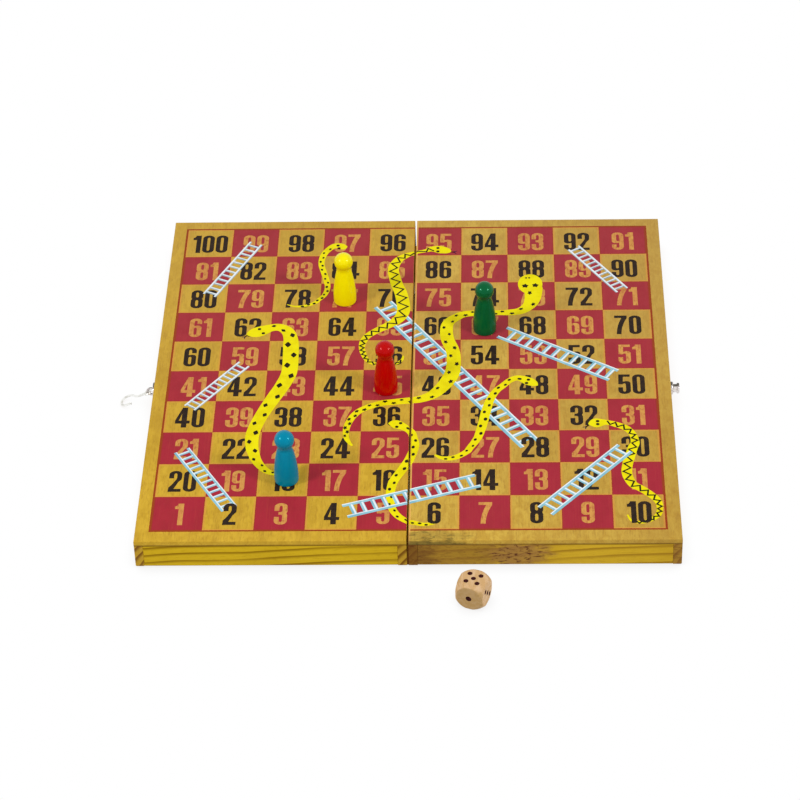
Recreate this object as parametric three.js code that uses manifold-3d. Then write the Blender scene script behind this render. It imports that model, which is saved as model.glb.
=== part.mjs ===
import * as THREE from 'three';
import { RoundedBoxGeometry } from 'three/addons/geometries/RoundedBoxGeometry.js';
import { mergeVertices, toCreasedNormals } from 'three/addons/utils/BufferGeometryUtils.js';
import Module from 'manifold-3d';

// Folding snakes and ladders board: two shallow wooden trays, hinged along one edge, whose plywood
// bottoms carry the playing field. It lies open with the playing face up, and each half is a tray
// turned upside down. Folded shut it is a flat box that holds the pawns and the die, and a wire hook
// on one half drops over a stud on the other.
// Millimetres, +X to the right, +Y away from the player, +Z up.

const wasm = await Module();
wasm.setup();

// The open board
const openWidth = 270;
const boardDepth = 270;
const foldGap = 1;
const panelThickness = 3.2;
const panelEdgeRadius = 0.8;
const wallThickness = 4.4;
const wallHeight = 13.3;
const rimEdgeRadius = 0.6;

// The butt hinges, let into the fold walls
const hingeSpacing = 150;
const hingeLength = 25;
const leafHeight = 9;
const leafThickness = 0.6;
const leafProud = 0.25;
const leafCornerRadius = 1;
const leafClearance = 0.2;
const knuckleCount = 5;
const knuckleGap = 0.3;
const barrelRadius = 1.1;
const barrelClearance = 0.3;
const hingePinRadius = 0.5;
const hingePinClearance = 0.1;
const closedRimGap = 0.3;

// The countersunk screws that hold the leaves
const screwSpacing = 15;
const screwHeight = 5.8;
const screwLength = 3.6;
const screwPointLength = 1.4;
const screwShankRadius = 0.65;
const screwHeadRadius = 1.3;
const screwHeadDepth = 0.55;
const screwSink = 0.05;
const screwSlotWidth = 0.35;
const screwSlotDepth = 0.25;
const screwClearance = 0.15;

// The wire hook, the screw eye that it hangs in and the stud that it catches
const latchHeight = 7;
const latchForward = 5;
const latchReach = 2.75;
const eyeRadius = 2;
const wireRadius = 0.6;
const eyeFlangeRadius = 4.8;
const eyeFlangeThickness = 1.6;
const loopClearance = 0.3;
const mouthClearance = 0.3;
const shankStraight = 3.2;
const hookTipLength = 2.6;
const hookTipFlare = 0.4;
const hookTableGap = 0.05;
const studFlangeRadius = 3.5;
const studFlangeThickness = 1.75;
const studNeckRadius = 2.2;
const studNeckLength = 2;
const studHeadRadius = 2.8;
const studHeadThickness = 1.35;
const studEdgeRadius = 0.45;
const latchShankRadius = 0.9;
const latchShankLength = 3.2;
const latchPointLength = 1.2;
const pilotClearance = 0.25;

// The pawns
const pawnHeight = 31;
const pawnHeadRadius = 5;
const pawnBaseRadius = 6.1;
const pawnFootRadius = 0.7;
const pawnBellyRadius = 6.45;
const pawnShoulderRadius = 5.15;
const pawnNeckRadius = 3.85;
const pawnNeckHeight = 20.6;
const pawnBellyShare = 0.4;
const pawnShoulderShare = 0.75;
const pawnPlaceShares = {
  yellow: [-0.276, 0.451],
  red: [-0.098, -0.121],
  blue: [-0.456, -0.657],
  green: [0.283, 0.253],
};

// The die
const dieSize = 14.4;
const dieEdgeRadius = 1.2;
const dieCornerBallRadius = 9.8;
const pipRadius = 1.25;
const pipBallRadius = 1.55;
const pipSpacing = 2.85;
const dieTurn = -20 * THREE.MathUtils.DEG2RAD;
const dieFromFold = 32.5;
const dieFromFront = 24.5;
const pipPlaceShares = {
  1: [[0, 0]],
  2: [[-1, 1], [1, -1]],
  3: [[-1, -1], [0, 0], [1, 1]],
  4: [[-1, -1], [-1, 1], [1, -1], [1, 1]],
  5: [[-1, -1], [-1, 1], [0, 0], [1, -1], [1, 1]],
  6: [[-1, -1], [-1, 0], [-1, 1], [1, -1], [1, 0], [1, 1]],
};

// One length by which every cutter runs past the surface that it cuts
const overrun = 1;

// Facets of round forms
const arcFacets = 4;
const boreFacets = 16;
const screwFacets = 14;
const latchFacets = 24;
const wireSides = 10;
const ringFacets = 28;
const hookSteps = 34;
const pawnFacets = 20;
const pawnSteps = 7;
const dieEdgeFacets = 3;
const dieBallFacets = 40;
const dieBallRows = 20;
const pipFacets = 10;
const pipRows = 7;
const creaseAngle = 35 * THREE.MathUtils.DEG2RAD;

// Levels and faces that follow from the sizes above. The barrels reach the table, the pivot line
// lies just under the rims, and x is 0 at the fold.
const tableHeight = 0;
const axisHeight = tableHeight + barrelRadius;
const rimHeight = axisHeight + closedRimGap / 2;
const panelBottom = rimHeight + wallHeight;
const panelTop = panelBottom + panelThickness;
const foldFace = foldGap / 2;
const outerFace = openWidth / 2;
const frontFace = -boardDepth / 2;
const backFace = boardDepth / 2;
const leafFront = foldFace - leafProud;
const leafBack = leafFront + leafThickness;
const latchLevel = rimHeight + latchHeight;
const hookReach = 2 * latchHeight + closedRimGap;
const loopRadius = 2 * wireRadius + loopClearance;
const mouthRadius = studHeadRadius + mouthClearance + wireRadius;

const finishes = {
  playing_face: new THREE.MeshStandardMaterial({ color: 0xc9a440, roughness: 0.4 }),
  left_frame: new THREE.MeshStandardMaterial({ color: 0xc2992a, roughness: 0.45 }),
  right_frame: new THREE.MeshStandardMaterial({ color: 0xa5782c, roughness: 0.45 }),
  nickel: new THREE.MeshStandardMaterial({ color: 0xc9c7c1, roughness: 0.25, metalness: 1 }),
  brassed_steel: new THREE.MeshStandardMaterial({ color: 0xb9923f, roughness: 0.35, metalness: 1 }),
  yellow_paint: new THREE.MeshStandardMaterial({ color: 0xf0dc12, roughness: 0.2 }),
  red_paint: new THREE.MeshStandardMaterial({ color: 0xb8000e, roughness: 0.2 }),
  blue_paint: new THREE.MeshStandardMaterial({ color: 0x0087a5, roughness: 0.2 }),
  green_paint: new THREE.MeshStandardMaterial({ color: 0x005f2d, roughness: 0.2 }),
  bare_beech: new THREE.MeshStandardMaterial({ color: 0xcda777, roughness: 0.55 }),
};

// Solids for cutting and joining

function solidOf(geometry) {
  const bare = geometry.clone();
  bare.deleteAttribute('normal');
  bare.deleteAttribute('uv');
  const merged = mergeVertices(bare);
  const corners = merged.index.array;
  const kept = [];
  for (let i = 0; i < corners.length; i += 3) {
    const [a, b, c] = corners.slice(i, i + 3);
    if (a !== b && b !== c && c !== a) kept.push(a, b, c);
  }
  const mesh = new wasm.Mesh({
    numProp: 3,
    vertProperties: new Float32Array(merged.attributes.position.array),
    triVerts: new Uint32Array(kept),
  });
  return new wasm.Manifold(mesh);
}

function geometryOf(solid) {
  const mesh = solid.getMesh();
  const geometry = new THREE.BufferGeometry();
  geometry.setAttribute('position', new THREE.BufferAttribute(new Float32Array(mesh.vertProperties), 3));
  geometry.setIndex(new THREE.BufferAttribute(new Uint32Array(mesh.triVerts), 1));
  return geometry;
}

function piece(name, form, finish) {
  const geometry = form.isBufferGeometry ? form : geometryOf(form);
  const mesh = new THREE.Mesh(toCreasedNormals(geometry, creaseAngle), finishes[finish]);
  mesh.name = name;
  return mesh;
}

function block(x, y, z) {
  const geometry = new THREE.BoxGeometry(x[1] - x[0], y[1] - y[0], z[1] - z[0]);
  return solidOf(geometry.translate((x[0] + x[1]) / 2, (y[0] + y[1]) / 2, (z[0] + z[1]) / 2));
}

function rodAlongX(radius, x, y, z, facets) {
  const geometry = new THREE.CylinderGeometry(radius, radius, x[1] - x[0], facets);
  return solidOf(geometry.rotateZ(Math.PI / 2).translate((x[0] + x[1]) / 2, y, z));
}

function rodAlongY(radius, y, x, z, facets) {
  const geometry = new THREE.CylinderGeometry(radius, radius, y[1] - y[0], facets);
  return solidOf(geometry.translate(x, (y[0] + y[1]) / 2, z));
}

// A profile of radius and height, turned about the x axis, with its heights running along +X or -X
function turnedAlongX(profile, facets, direction) {
  const points = profile.map(([radius, height]) => new THREE.Vector2(radius, height));
  return new THREE.LatheGeometry(points, facets).rotateZ(-direction * Math.PI / 2);
}

// An upright rectangle whose corners can be eased with quarter arcs
function easedOutline(low, high, bottom, top, eased = {}) {
  const { bottomLow = 0, bottomHigh = 0, topHigh = 0, topLow = 0 } = eased;
  const quarter = Math.PI / 2;
  const outline = new THREE.Shape();
  const corner = (u, v, radius, start) => {
    if (radius > 0) outline.absarc(u, v, radius, start, start + quarter);
    else outline.lineTo(u, v);
  };
  outline.moveTo(low + bottomLow, bottom);
  corner(high - bottomHigh, bottom + bottomHigh, bottomHigh, -quarter);
  corner(high - topHigh, top - topHigh, topHigh, 0);
  corner(low + topLow, top - topLow, topLow, quarter);
  corner(low + bottomLow, bottom + bottomLow, bottomLow, 2 * quarter);
  return outline;
}

function extrudeAlong(basis, shape, length) {
  const geometry = new THREE.ExtrudeGeometry(shape, {
    depth: length,
    bevelEnabled: false,
    curveSegments: arcFacets,
  });
  return geometry.applyMatrix4(basis);
}

const axisX = new THREE.Vector3(1, 0, 0);
const axisY = new THREE.Vector3(0, 1, 0);
const axisZ = new THREE.Vector3(0, 0, 1);

// An outline in y and z, drawn out from x[0] to x[1]
function extrudeAlongX(shape, x) {
  const basis = new THREE.Matrix4().makeBasis(axisY, axisZ, axisX);
  return extrudeAlong(basis, shape, x[1] - x[0]).translate(x[0], 0, 0);
}

// An outline in x and z, drawn out from y[0] to y[1]
function extrudeAlongY(shape, y) {
  const basis = new THREE.Matrix4().makeBasis(axisX, axisZ, axisY.clone().negate());
  return extrudeAlong(basis, shape, y[1] - y[0]).translate(0, y[1], 0);
}

// Near and far are distances from the fold; side is -1 for the left half and 1 for the right half
function across(side, near, far) {
  return side < 0 ? [-far, -near] : [near, far];
}

const hingePlaces = [-hingeSpacing / 2, hingeSpacing / 2];
const screwOffsets = [-screwSpacing / 2, screwSpacing / 2];
const screwLevel = axisHeight + screwHeight;

// The wooden half: a plywood panel glued on four walls. The side walls run the whole depth and show
// their end grain at the front, and the front and back walls are butted between them.

function playingPanel(side) {
  const x = across(side, foldFace, outerFace);
  const eased = { topLow: panelEdgeRadius, topHigh: panelEdgeRadius };
  const lengthwise = extrudeAlongY(easedOutline(...x, panelBottom, panelTop, eased), [frontFace, backFace]);
  const crosswise = extrudeAlongX(easedOutline(frontFace, backFace, panelBottom, panelTop, eased), x);
  return solidOf(lengthwise).intersect(solidOf(crosswise));
}

function outerWall(side) {
  const x = across(side, outerFace - wallThickness, outerFace);
  const eased = side < 0 ? { bottomLow: rimEdgeRadius } : { bottomHigh: rimEdgeRadius };
  const wall = solidOf(extrudeAlongY(easedOutline(...x, rimHeight, panelBottom, eased), [frontFace, backFace]));
  const boreDepth = latchShankLength + pilotClearance;
  const bore = rodAlongX(
    latchShankRadius + pilotClearance,
    across(side, outerFace - boreDepth, outerFace + overrun),
    -latchForward,
    latchLevel,
    boreFacets,
  );
  return wall.subtract(bore);
}

function foldWall(side) {
  let wall = block(
    across(side, foldFace, foldFace + wallThickness),
    [frontFace, backFace],
    [rimHeight, panelBottom],
  );
  for (const y of hingePlaces) {
    const halfRecess = hingeLength / 2 + leafClearance;
    const recess = block(
      across(side, foldFace - overrun, leafBack),
      [y - halfRecess, y + halfRecess],
      [rimHeight - overrun, axisHeight + leafHeight + leafClearance],
    );
    const halfNotch = hingeLength / 2 + barrelClearance;
    const notch = rodAlongY(
      barrelRadius + barrelClearance,
      [y - halfNotch, y + halfNotch],
      0,
      axisHeight,
      boreFacets,
    );
    wall = wall.subtract(recess).subtract(notch);
    for (const offset of screwOffsets) {
      const bore = rodAlongX(
        screwShankRadius + screwClearance,
        across(side, leafBack - overrun, leafFront + screwSink + screwLength + screwClearance),
        y + offset,
        screwLevel,
        screwFacets,
      );
      wall = wall.subtract(bore);
    }
  }
  return wall;
}

function endWall(side, front) {
  const x = across(side, foldFace + wallThickness, outerFace - wallThickness);
  const outline = front
    ? easedOutline(frontFace, frontFace + wallThickness, rimHeight, panelBottom, { bottomLow: rimEdgeRadius })
    : easedOutline(backFace - wallThickness, backFace, rimHeight, panelBottom, { bottomHigh: rimEdgeRadius });
  return extrudeAlongX(outline, x);
}

function woodenHalf(side, label) {
  const half = new THREE.Group();
  half.add(
    piece(`${label}_playing_panel`, playingPanel(side), 'playing_face'),
    piece(`${label}_outer_wall`, outerWall(side), `${label}_frame`),
    piece(`${label}_fold_wall`, foldWall(side), `${label}_frame`),
    piece(`${label}_front_wall`, endWall(side, true), `${label}_frame`),
    piece(`${label}_back_wall`, endWall(side, false), `${label}_frame`),
  );
  return half;
}

// The hinge: both leaves are rolled into alternate knuckles round one pin. With the board open the
// leaves face each other inside the fold gap.

function screwProfile(clearance) {
  const shoulder = -screwHeadDepth;
  return [
    [0, -screwLength - clearance],
    [screwShankRadius + clearance, -screwLength + screwPointLength],
    [screwShankRadius + clearance, shoulder],
    [screwHeadRadius + clearance, 0],
  ];
}

function hingeLeaf(side, y) {
  const ends = [y - hingeLength / 2, y + hingeLength / 2];
  const plateBottom = axisHeight + barrelRadius + barrelClearance;
  const plateTop = axisHeight + leafHeight;
  const thickness = across(side, leafFront, leafBack);
  const outline = easedOutline(...ends, plateBottom, plateTop, {
    topLow: leafCornerRadius,
    topHigh: leafCornerRadius,
  });
  let leaf = solidOf(extrudeAlongX(outline, thickness));
  const pitch = hingeLength / knuckleCount;
  const first = side < 0 ? 0 : 1;
  for (let i = first; i < knuckleCount; i += 2) {
    const span = [ends[0] + i * pitch + knuckleGap / 2, ends[0] + (i + 1) * pitch - knuckleGap / 2];
    const strap = block(thickness, span, [axisHeight, plateBottom + leafThickness]);
    const roll = rodAlongY(barrelRadius, span, 0, axisHeight, boreFacets);
    leaf = leaf.add(strap).add(roll);
  }
  const boreEnds = [ends[0] - overrun, ends[1] + overrun];
  leaf = leaf.subtract(
    rodAlongY(hingePinRadius + hingePinClearance, boreEnds, 0, axisHeight, boreFacets),
  );
  for (const offset of screwOffsets) {
    const rim = screwHeadRadius + screwClearance;
    const profile = [...screwProfile(screwClearance), [rim, overrun], [0, overrun]];
    const sink = turnedAlongX(profile, screwFacets, -side);
    leaf = leaf.subtract(solidOf(sink.translate(side * leafFront, y + offset, screwLevel)));
  }
  return leaf;
}

function hingePin(y) {
  const half = hingeLength / 2 - knuckleGap / 2;
  return rodAlongY(hingePinRadius, [y - half, y + half], 0, axisHeight, boreFacets);
}

function leafScrew(side) {
  const body = solidOf(turnedAlongX([...screwProfile(0), [0, 0]], screwFacets, -side));
  const slot = block(
    across(side, -overrun, screwSlotDepth),
    [-screwHeadRadius - overrun, screwHeadRadius + overrun],
    [-screwSlotWidth / 2, screwSlotWidth / 2],
  );
  return body.subtract(slot);
}

function leafWithScrews(side, label, y, place) {
  const fixed = new THREE.Group();
  fixed.add(piece(`${place}_hinge_${label}_leaf`, hingeLeaf(side, y), 'brassed_steel'));
  screwOffsets.forEach((offset, i) => {
    const screw = piece(`${place}_hinge_${label}_screw_${i + 1}`, leafScrew(side), 'brassed_steel');
    screw.position.set(side * (leafFront + screwSink), y + offset, screwLevel);
    fixed.add(screw);
  });
  return fixed;
}

// The latch

function latchShank(start) {
  return [
    [0, -latchShankLength],
    [latchShankRadius, -latchShankLength + latchPointLength],
    [latchShankRadius, start],
  ];
}

// A rim of the given radius whose outer edge is eased, from one height up to another
function easedRim(radius, from, to) {
  const turn = Math.PI / 2 / arcFacets;
  const points = [[radius, from]];
  for (let i = 0; i <= arcFacets; i += 1) {
    const inset = studEdgeRadius * (1 - Math.cos(i * turn));
    points.push([radius - inset, to - studEdgeRadius * (1 - Math.sin(i * turn))]);
  }
  return points;
}

function screwEye() {
  const base = turnedAlongX(
    [...latchShank(0), ...easedRim(eyeFlangeRadius, 0, eyeFlangeThickness), [0, eyeFlangeThickness]],
    latchFacets,
    -1,
  );
  const ring = new THREE.TorusGeometry(eyeRadius, wireRadius, wireSides, ringFacets);
  return solidOf(base).add(solidOf(ring.rotateX(Math.PI / 2).translate(-latchReach, 0, 0)));
}

// The hook lies in its own x and y here, with the middle of the eye that it hangs in at the origin
function wireHook() {
  const loop = new THREE.TorusGeometry(loopRadius, wireRadius, wireSides, ringFacets);
  const shankStart = eyeRadius + loopRadius;
  const shankEnd = shankStart + shankStraight;
  const tip = hookReach - hookTipLength;
  const middle = (shankEnd + hookReach) / 2;
  const route = new THREE.Path();
  route.moveTo(shankStart, 0);
  route.lineTo(shankEnd, 0);
  route.bezierCurveTo(middle, 0, middle, mouthRadius, hookReach, mouthRadius);
  route.absarc(hookReach, 0, mouthRadius, Math.PI / 2, -Math.PI / 2, true);
  route.quadraticCurveTo((hookReach + tip) / 2, -mouthRadius, tip, -mouthRadius - hookTipFlare);
  const points = route.getSpacedPoints(hookSteps).map((p) => new THREE.Vector3(p.x, p.y, 0));
  const section = new THREE.Shape().absarc(0, 0, wireRadius, 0, 2 * Math.PI);
  const wire = new THREE.ExtrudeGeometry(section, {
    steps: hookSteps,
    curveSegments: wireSides / 2,
    extrudePath: new THREE.CatmullRomCurve3(points),
  });
  return solidOf(loop.translate(eyeRadius, 0, 0)).add(solidOf(wire));
}

function catchStud() {
  const neckEnd = studFlangeThickness + studNeckLength;
  const profile = [
    ...latchShank(0),
    ...easedRim(studFlangeRadius, 0, studFlangeThickness),
    [studNeckRadius, studFlangeThickness],
    [studNeckRadius, neckEnd],
    ...easedRim(studHeadRadius, neckEnd, neckEnd + studHeadThickness),
    [0, neckEnd + studHeadThickness],
  ];
  return turnedAlongX(profile, latchFacets, 1);
}

function latch() {
  const parts = new THREE.Group();
  const eye = piece('latch_screw_eye', screwEye(), 'nickel');
  eye.position.set(-outerFace, -latchForward, latchLevel);
  const hook = piece('latch_wire_hook', wireHook(), 'nickel');
  const lowest = hookReach + mouthRadius;
  const droop = Math.asin((latchLevel - wireRadius - hookTableGap) / lowest);
  hook.position.set(-outerFace - latchReach, -latchForward, latchLevel);
  hook.rotation.y = Math.PI - droop;
  const stud = piece('latch_catch_stud', catchStud(), 'nickel');
  stud.position.set(outerFace, -latchForward, latchLevel);
  parts.add(eye, hook, stud);
  return parts;
}

// The playing pieces

function pawnBody() {
  const headHeight = pawnHeight - pawnHeadRadius;
  const neckDrop = Math.sqrt(pawnHeadRadius ** 2 - pawnNeckRadius ** 2);
  const side = new THREE.Path();
  side.moveTo(0, 0);
  side.lineTo(pawnBaseRadius - pawnFootRadius, 0);
  side.quadraticCurveTo(pawnBaseRadius, 0, pawnBaseRadius, pawnFootRadius);
  side.bezierCurveTo(
    pawnBellyRadius,
    pawnNeckHeight * pawnBellyShare,
    pawnShoulderRadius,
    pawnNeckHeight * pawnShoulderShare,
    pawnNeckRadius,
    pawnNeckHeight,
  );
  side.absarc(0, headHeight, pawnHeadRadius, -Math.atan2(neckDrop, pawnNeckRadius), Math.PI / 2);
  const points = side.getPoints(pawnSteps);
  points[points.length - 1].x = 0;
  return new THREE.LatheGeometry(points, pawnFacets).rotateX(Math.PI / 2);
}

function pawn(colour) {
  const [acrossShare, awayShare] = pawnPlaceShares[colour];
  const standing = piece(`${colour}_pawn`, pawnBody(), `${colour}_paint`);
  standing.position.set(acrossShare * outerFace, awayShare * backFace, panelTop);
  return standing;
}

// Opposite faces of the die add up to seven
const dieFaces = [
  { pips: 5, turn: new THREE.Euler(0, 0, 0) },
  { pips: 2, turn: new THREE.Euler(Math.PI, 0, 0) },
  { pips: 1, turn: new THREE.Euler(Math.PI / 2, 0, 0) },
  { pips: 6, turn: new THREE.Euler(-Math.PI / 2, 0, 0) },
  { pips: 3, turn: new THREE.Euler(0, Math.PI / 2, 0) },
  { pips: 4, turn: new THREE.Euler(0, -Math.PI / 2, 0) },
];

// A cube with eased edges whose corners are rounded off by a ball
function dieBody() {
  const cube = new RoundedBoxGeometry(dieSize, dieSize, dieSize, dieEdgeFacets, dieEdgeRadius);
  const cornerBall = new THREE.SphereGeometry(dieCornerBallRadius, dieBallFacets, dieBallRows);
  let body = solidOf(cube).intersect(solidOf(cornerBall.rotateX(Math.PI / 2)));
  const lift = Math.sqrt(pipBallRadius ** 2 - pipRadius ** 2);
  for (const { pips, turn } of dieFaces) {
    for (const [u, v] of pipPlaceShares[pips]) {
      const ball = new THREE.SphereGeometry(pipBallRadius, pipFacets, pipRows);
      const place = new THREE.Vector3(u * pipSpacing, v * pipSpacing, dieSize / 2 + lift);
      place.applyEuler(turn);
      body = body.subtract(solidOf(ball.translate(place.x, place.y, place.z)));
    }
  }
  return body;
}

function die() {
  const cube = piece('die', dieBody(), 'bare_beech');
  cube.position.set(dieFromFold, frontFace - dieFromFront, tableHeight + dieSize / 2);
  cube.rotation.z = dieTurn;
  return cube;
}

// The whole set, with its origin under the middle of everything, on the table

const board = new THREE.Group();
board.add(woodenHalf(-1, 'left'), woodenHalf(1, 'right'));
hingePlaces.forEach((y, i) => {
  const place = i === 0 ? 'front' : 'back';
  board.add(leafWithScrews(-1, 'left', y, place), leafWithScrews(1, 'right', y, place));
  board.add(piece(`${place}_hinge_pin`, hingePin(y), 'brassed_steel'));
});
board.add(latch(), ...Object.keys(pawnPlaceShares).map(pawn), die());

const extent = new THREE.Box3().setFromObject(board, true);
const centre = extent.getCenter(new THREE.Vector3());
board.position.set(-centre.x, -centre.y, -extent.min.z);

export default board;
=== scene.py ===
import math
import random

import bmesh
import bpy
from mathutils import Matrix
from mathutils import Vector
from mathutils.geometry import tessellate_polygon


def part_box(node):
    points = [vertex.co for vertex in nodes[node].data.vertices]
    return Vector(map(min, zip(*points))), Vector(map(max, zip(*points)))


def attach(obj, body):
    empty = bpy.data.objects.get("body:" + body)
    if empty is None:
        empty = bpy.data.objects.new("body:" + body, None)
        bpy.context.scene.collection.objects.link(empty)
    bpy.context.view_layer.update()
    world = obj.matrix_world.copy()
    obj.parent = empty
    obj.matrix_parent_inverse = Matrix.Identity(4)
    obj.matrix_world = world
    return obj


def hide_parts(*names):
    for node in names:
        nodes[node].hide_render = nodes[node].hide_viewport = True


# Looks of a folding snakes and ladders board with four pawns and a die.
# The halves, their walls, the hinges, the screws and the latch stay CAD nodes and get their looks here.
# The print, the pawns and the die are modelled here, round the places that the frame gives.
# All lengths are in metres.

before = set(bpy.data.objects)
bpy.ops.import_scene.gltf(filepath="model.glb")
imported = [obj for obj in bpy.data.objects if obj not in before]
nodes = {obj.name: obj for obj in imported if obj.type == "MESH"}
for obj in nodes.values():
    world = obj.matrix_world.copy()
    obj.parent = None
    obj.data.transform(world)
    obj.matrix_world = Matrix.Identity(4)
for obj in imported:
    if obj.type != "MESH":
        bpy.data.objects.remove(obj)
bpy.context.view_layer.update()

MM = 0.001

# Places that the frame gives
LEFT_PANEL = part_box("left_playing_panel")
RIGHT_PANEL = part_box("right_playing_panel")
FACE_LEVEL = LEFT_PANEL[1].z
PANEL_UNDERSIDE = LEFT_PANEL[0].z
WALL_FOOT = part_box("left_front_wall")[0].z
FOLD_MIDDLE = (LEFT_PANEL[1].x + RIGHT_PANEL[0].x) / 2
BOARD_LEFT = LEFT_PANEL[0].x
BOARD_RIGHT = RIGHT_PANEL[1].x
BOARD_FRONT = LEFT_PANEL[0].y
BOARD_BACK = LEFT_PANEL[1].y

# The print: ten squares a side inside a plain margin
SQUARES = 10
PRINT_MARGIN = 8 * MM
SQUARE = (BOARD_RIGHT - BOARD_LEFT - 2 * PRINT_MARGIN) / SQUARES
FIELD_LEFT = BOARD_LEFT + PRINT_MARGIN
FIELD_FRONT = BOARD_FRONT + PRINT_MARGIN
LAYER_STEP = 0.015 * MM
PRINT_SINK = 0.01 * MM
PANEL_EDGE_RADIUS = 0.8 * MM
PANEL_EDGE_FACETS = 4

LEFT_HALF = "left_half"
RIGHT_HALF = "right_half"


def srgb(red, green, blue):
    """A colour given as 0 to 255 values, as the shader wants it."""
    full = 255
    toe = 0.04045
    channels = []
    for value in (red, green, blue):
        share = value / full
        channels.append(share / 12.92 if share <= toe else ((share + 0.055) / 1.055) ** 2.4)
    return (*channels, 1.0)


VARNISH_GLOSS = 0.05
PAINT_GLOSS = 0.34
METAL_GLOSS = 0.5
shader_inputs = {"metallic": "Metallic", "gloss": "Specular IOR Level", "shine": "Specular Tint"}


class Tree:
    """Adds linked nodes to a node tree."""

    def __init__(self, tree):
        self.nodes = tree.nodes
        self.links = tree.links

    def give(self, socket, value):
        if isinstance(value, bpy.types.NodeSocket):
            self.links.new(value, socket)
        else:
            socket.default_value = value

    def add(self, kind, inputs, **settings):
        node = self.nodes.new(kind)
        for key, value in settings.items():
            setattr(node, key, value)
        for key, value in inputs.items():
            self.give(node.inputs[key], value)
        return node

    def math(self, operation, *values):
        return self.add("ShaderNodeMath", dict(enumerate(values)), operation=operation).outputs[0]

    def chain(self, operation, values):
        result = values[0]
        for value in values[1:]:
            result = self.math(operation, result, value)
        return result

    def times(self, *values):
        return self.chain("MULTIPLY", values)

    def plus(self, *values):
        return self.chain("ADD", values)

    def minus(self, first, second):
        return self.math("SUBTRACT", first, second)

    def apart(self, first, second):
        """How far apart two values are."""
        return self.math("ABSOLUTE", self.minus(first, second))

    def vector(self, operation, *values):
        return self.add("ShaderNodeVectorMath", dict(enumerate(values)), operation=operation).outputs

    def scaled(self, place, lengths):
        """A place counted in those lengths."""
        return self.vector("MULTIPLY", place, tuple(1 / length for length in lengths))[0]

    def span(self, value, start, end, low=0.0, high=1.0):
        """Goes smoothly from low to high as value goes from start to end."""
        inputs = {"Value": value, "From Min": start, "From Max": end, "To Min": low, "To Max": high}
        return self.add("ShaderNodeMapRange", inputs, interpolation_type="SMOOTHSTEP").outputs["Result"]

    def mix(self, factor, first, second):
        node = self.add("ShaderNodeMix", {}, data_type="RGBA")
        sockets = {socket.identifier: socket for socket in (*node.inputs, *node.outputs)}
        self.give(sockets["Factor_Float"], factor)
        self.give(sockets["A_Color"], first)
        self.give(sockets["B_Color"], second)
        return sockets["Result_Color"]

    def cover(self, colour, over, *shares):
        """Lays another colour over, by the product of the shares."""
        return self.mix(self.times(*shares), colour, over)

    def layer(self, colour, value, start, end, share, over):
        """Lays another colour over, from none of it to that share as value goes from start to end."""
        return self.cover(colour, over, self.span(value, start, end, 0.0, share))


class Finish(Tree):
    """A procedural material, written as short calls that each add a node."""

    def __init__(self, name):
        self.material = bpy.data.materials.new(name)
        self.material.use_nodes = True
        super().__init__(self.material.node_tree)
        self.shader = self.nodes["Principled BSDF"]
        self.coordinates = self.nodes.new("ShaderNodeTexCoord").outputs
        self.place = self.coordinates["Object"]
        self.x, self.y, self.z = self.add("ShaderNodeSeparateXYZ", {"Vector": self.place}).outputs

    def facing(self, way):
        """How far the surface faces along X, Y or Z, from -1 to 1."""
        parts = self.add("ShaderNodeSeparateXYZ", {"Vector": self.coordinates["Normal"]})
        return parts.outputs[way]

    def noise(self, size, detail=2.0, rough=0.5, warp=0.0):
        """Soft noise around a half, whose spots are about size long: one length or (x, y, z)."""
        lengths = size if isinstance(size, tuple) else (size, size, size)
        inputs = {
            "Vector": self.scaled(self.place, lengths),
            "Scale": 1.0,
            "Detail": detail,
            "Roughness": rough,
            "Distortion": warp,
        }
        return self.add("ShaderNodeTexNoise", inputs).outputs[0]

    def grain(self, along, width, length, detail=2.0, rough=0.5, warp=0.0):
        """Noise whose spots lie along the grain."""
        size = (length, width, width) if along == ALONG_X else (width, length, width)
        return self.noise(size, detail, rough, warp)

    def surface(self, colour, roughness, height, depth, **constants):
        """Links colour, roughness and a bump of that depth, and sets the shader's constant values."""
        bump = self.add("ShaderNodeBump", {"Height": height, "Distance": depth, "Strength": 1.0})
        linked = {"Base Color": colour, "Roughness": roughness, "Normal": bump.outputs["Normal"]}
        for name, value in linked.items():
            self.give(self.shader.inputs[name], value)
        values = {"gloss": VARNISH_GLOSS, **constants}
        for name, value in values.items():
            self.shader.inputs[shader_inputs[name]].default_value = value
        return self.material


# Wood

ALONG_X = "X"
ALONG_Y = "Y"
# Grain: how wide and how long its marks are, then their detail, roughness and warp
FIBRE_SIZE = (0.45 * MM, 26 * MM)
FIBRE = (*FIBRE_SIZE, 3.0, 0.6)
SOFT_FIBRE = (*FIBRE_SIZE, 3.0)
STREAK = (5 * MM, 110 * MM, 3.0, 0.55, 0.4)
BLOTCH = (4 * MM, 7 * MM, 4.0, 0.6, 0.6)
STROKE = (0.7 * MM, 5 * MM, 4.0, 0.65)
PORE = (0.35 * MM, 3.5 * MM, 2.0, 0.7)
RED_PATCH = (9 * MM, 16 * MM, 4.0, 0.6)
RING_DRIFT = (30 * MM, 90 * MM, 2.0, 0.4)
RING_FADE = (20 * MM, 60 * MM)
CLOUD_SIZE = 55 * MM
WOOD_RELIEF = 0.03 * MM
GLUE_SHADE_LINE = 0.9 * MM


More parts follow.
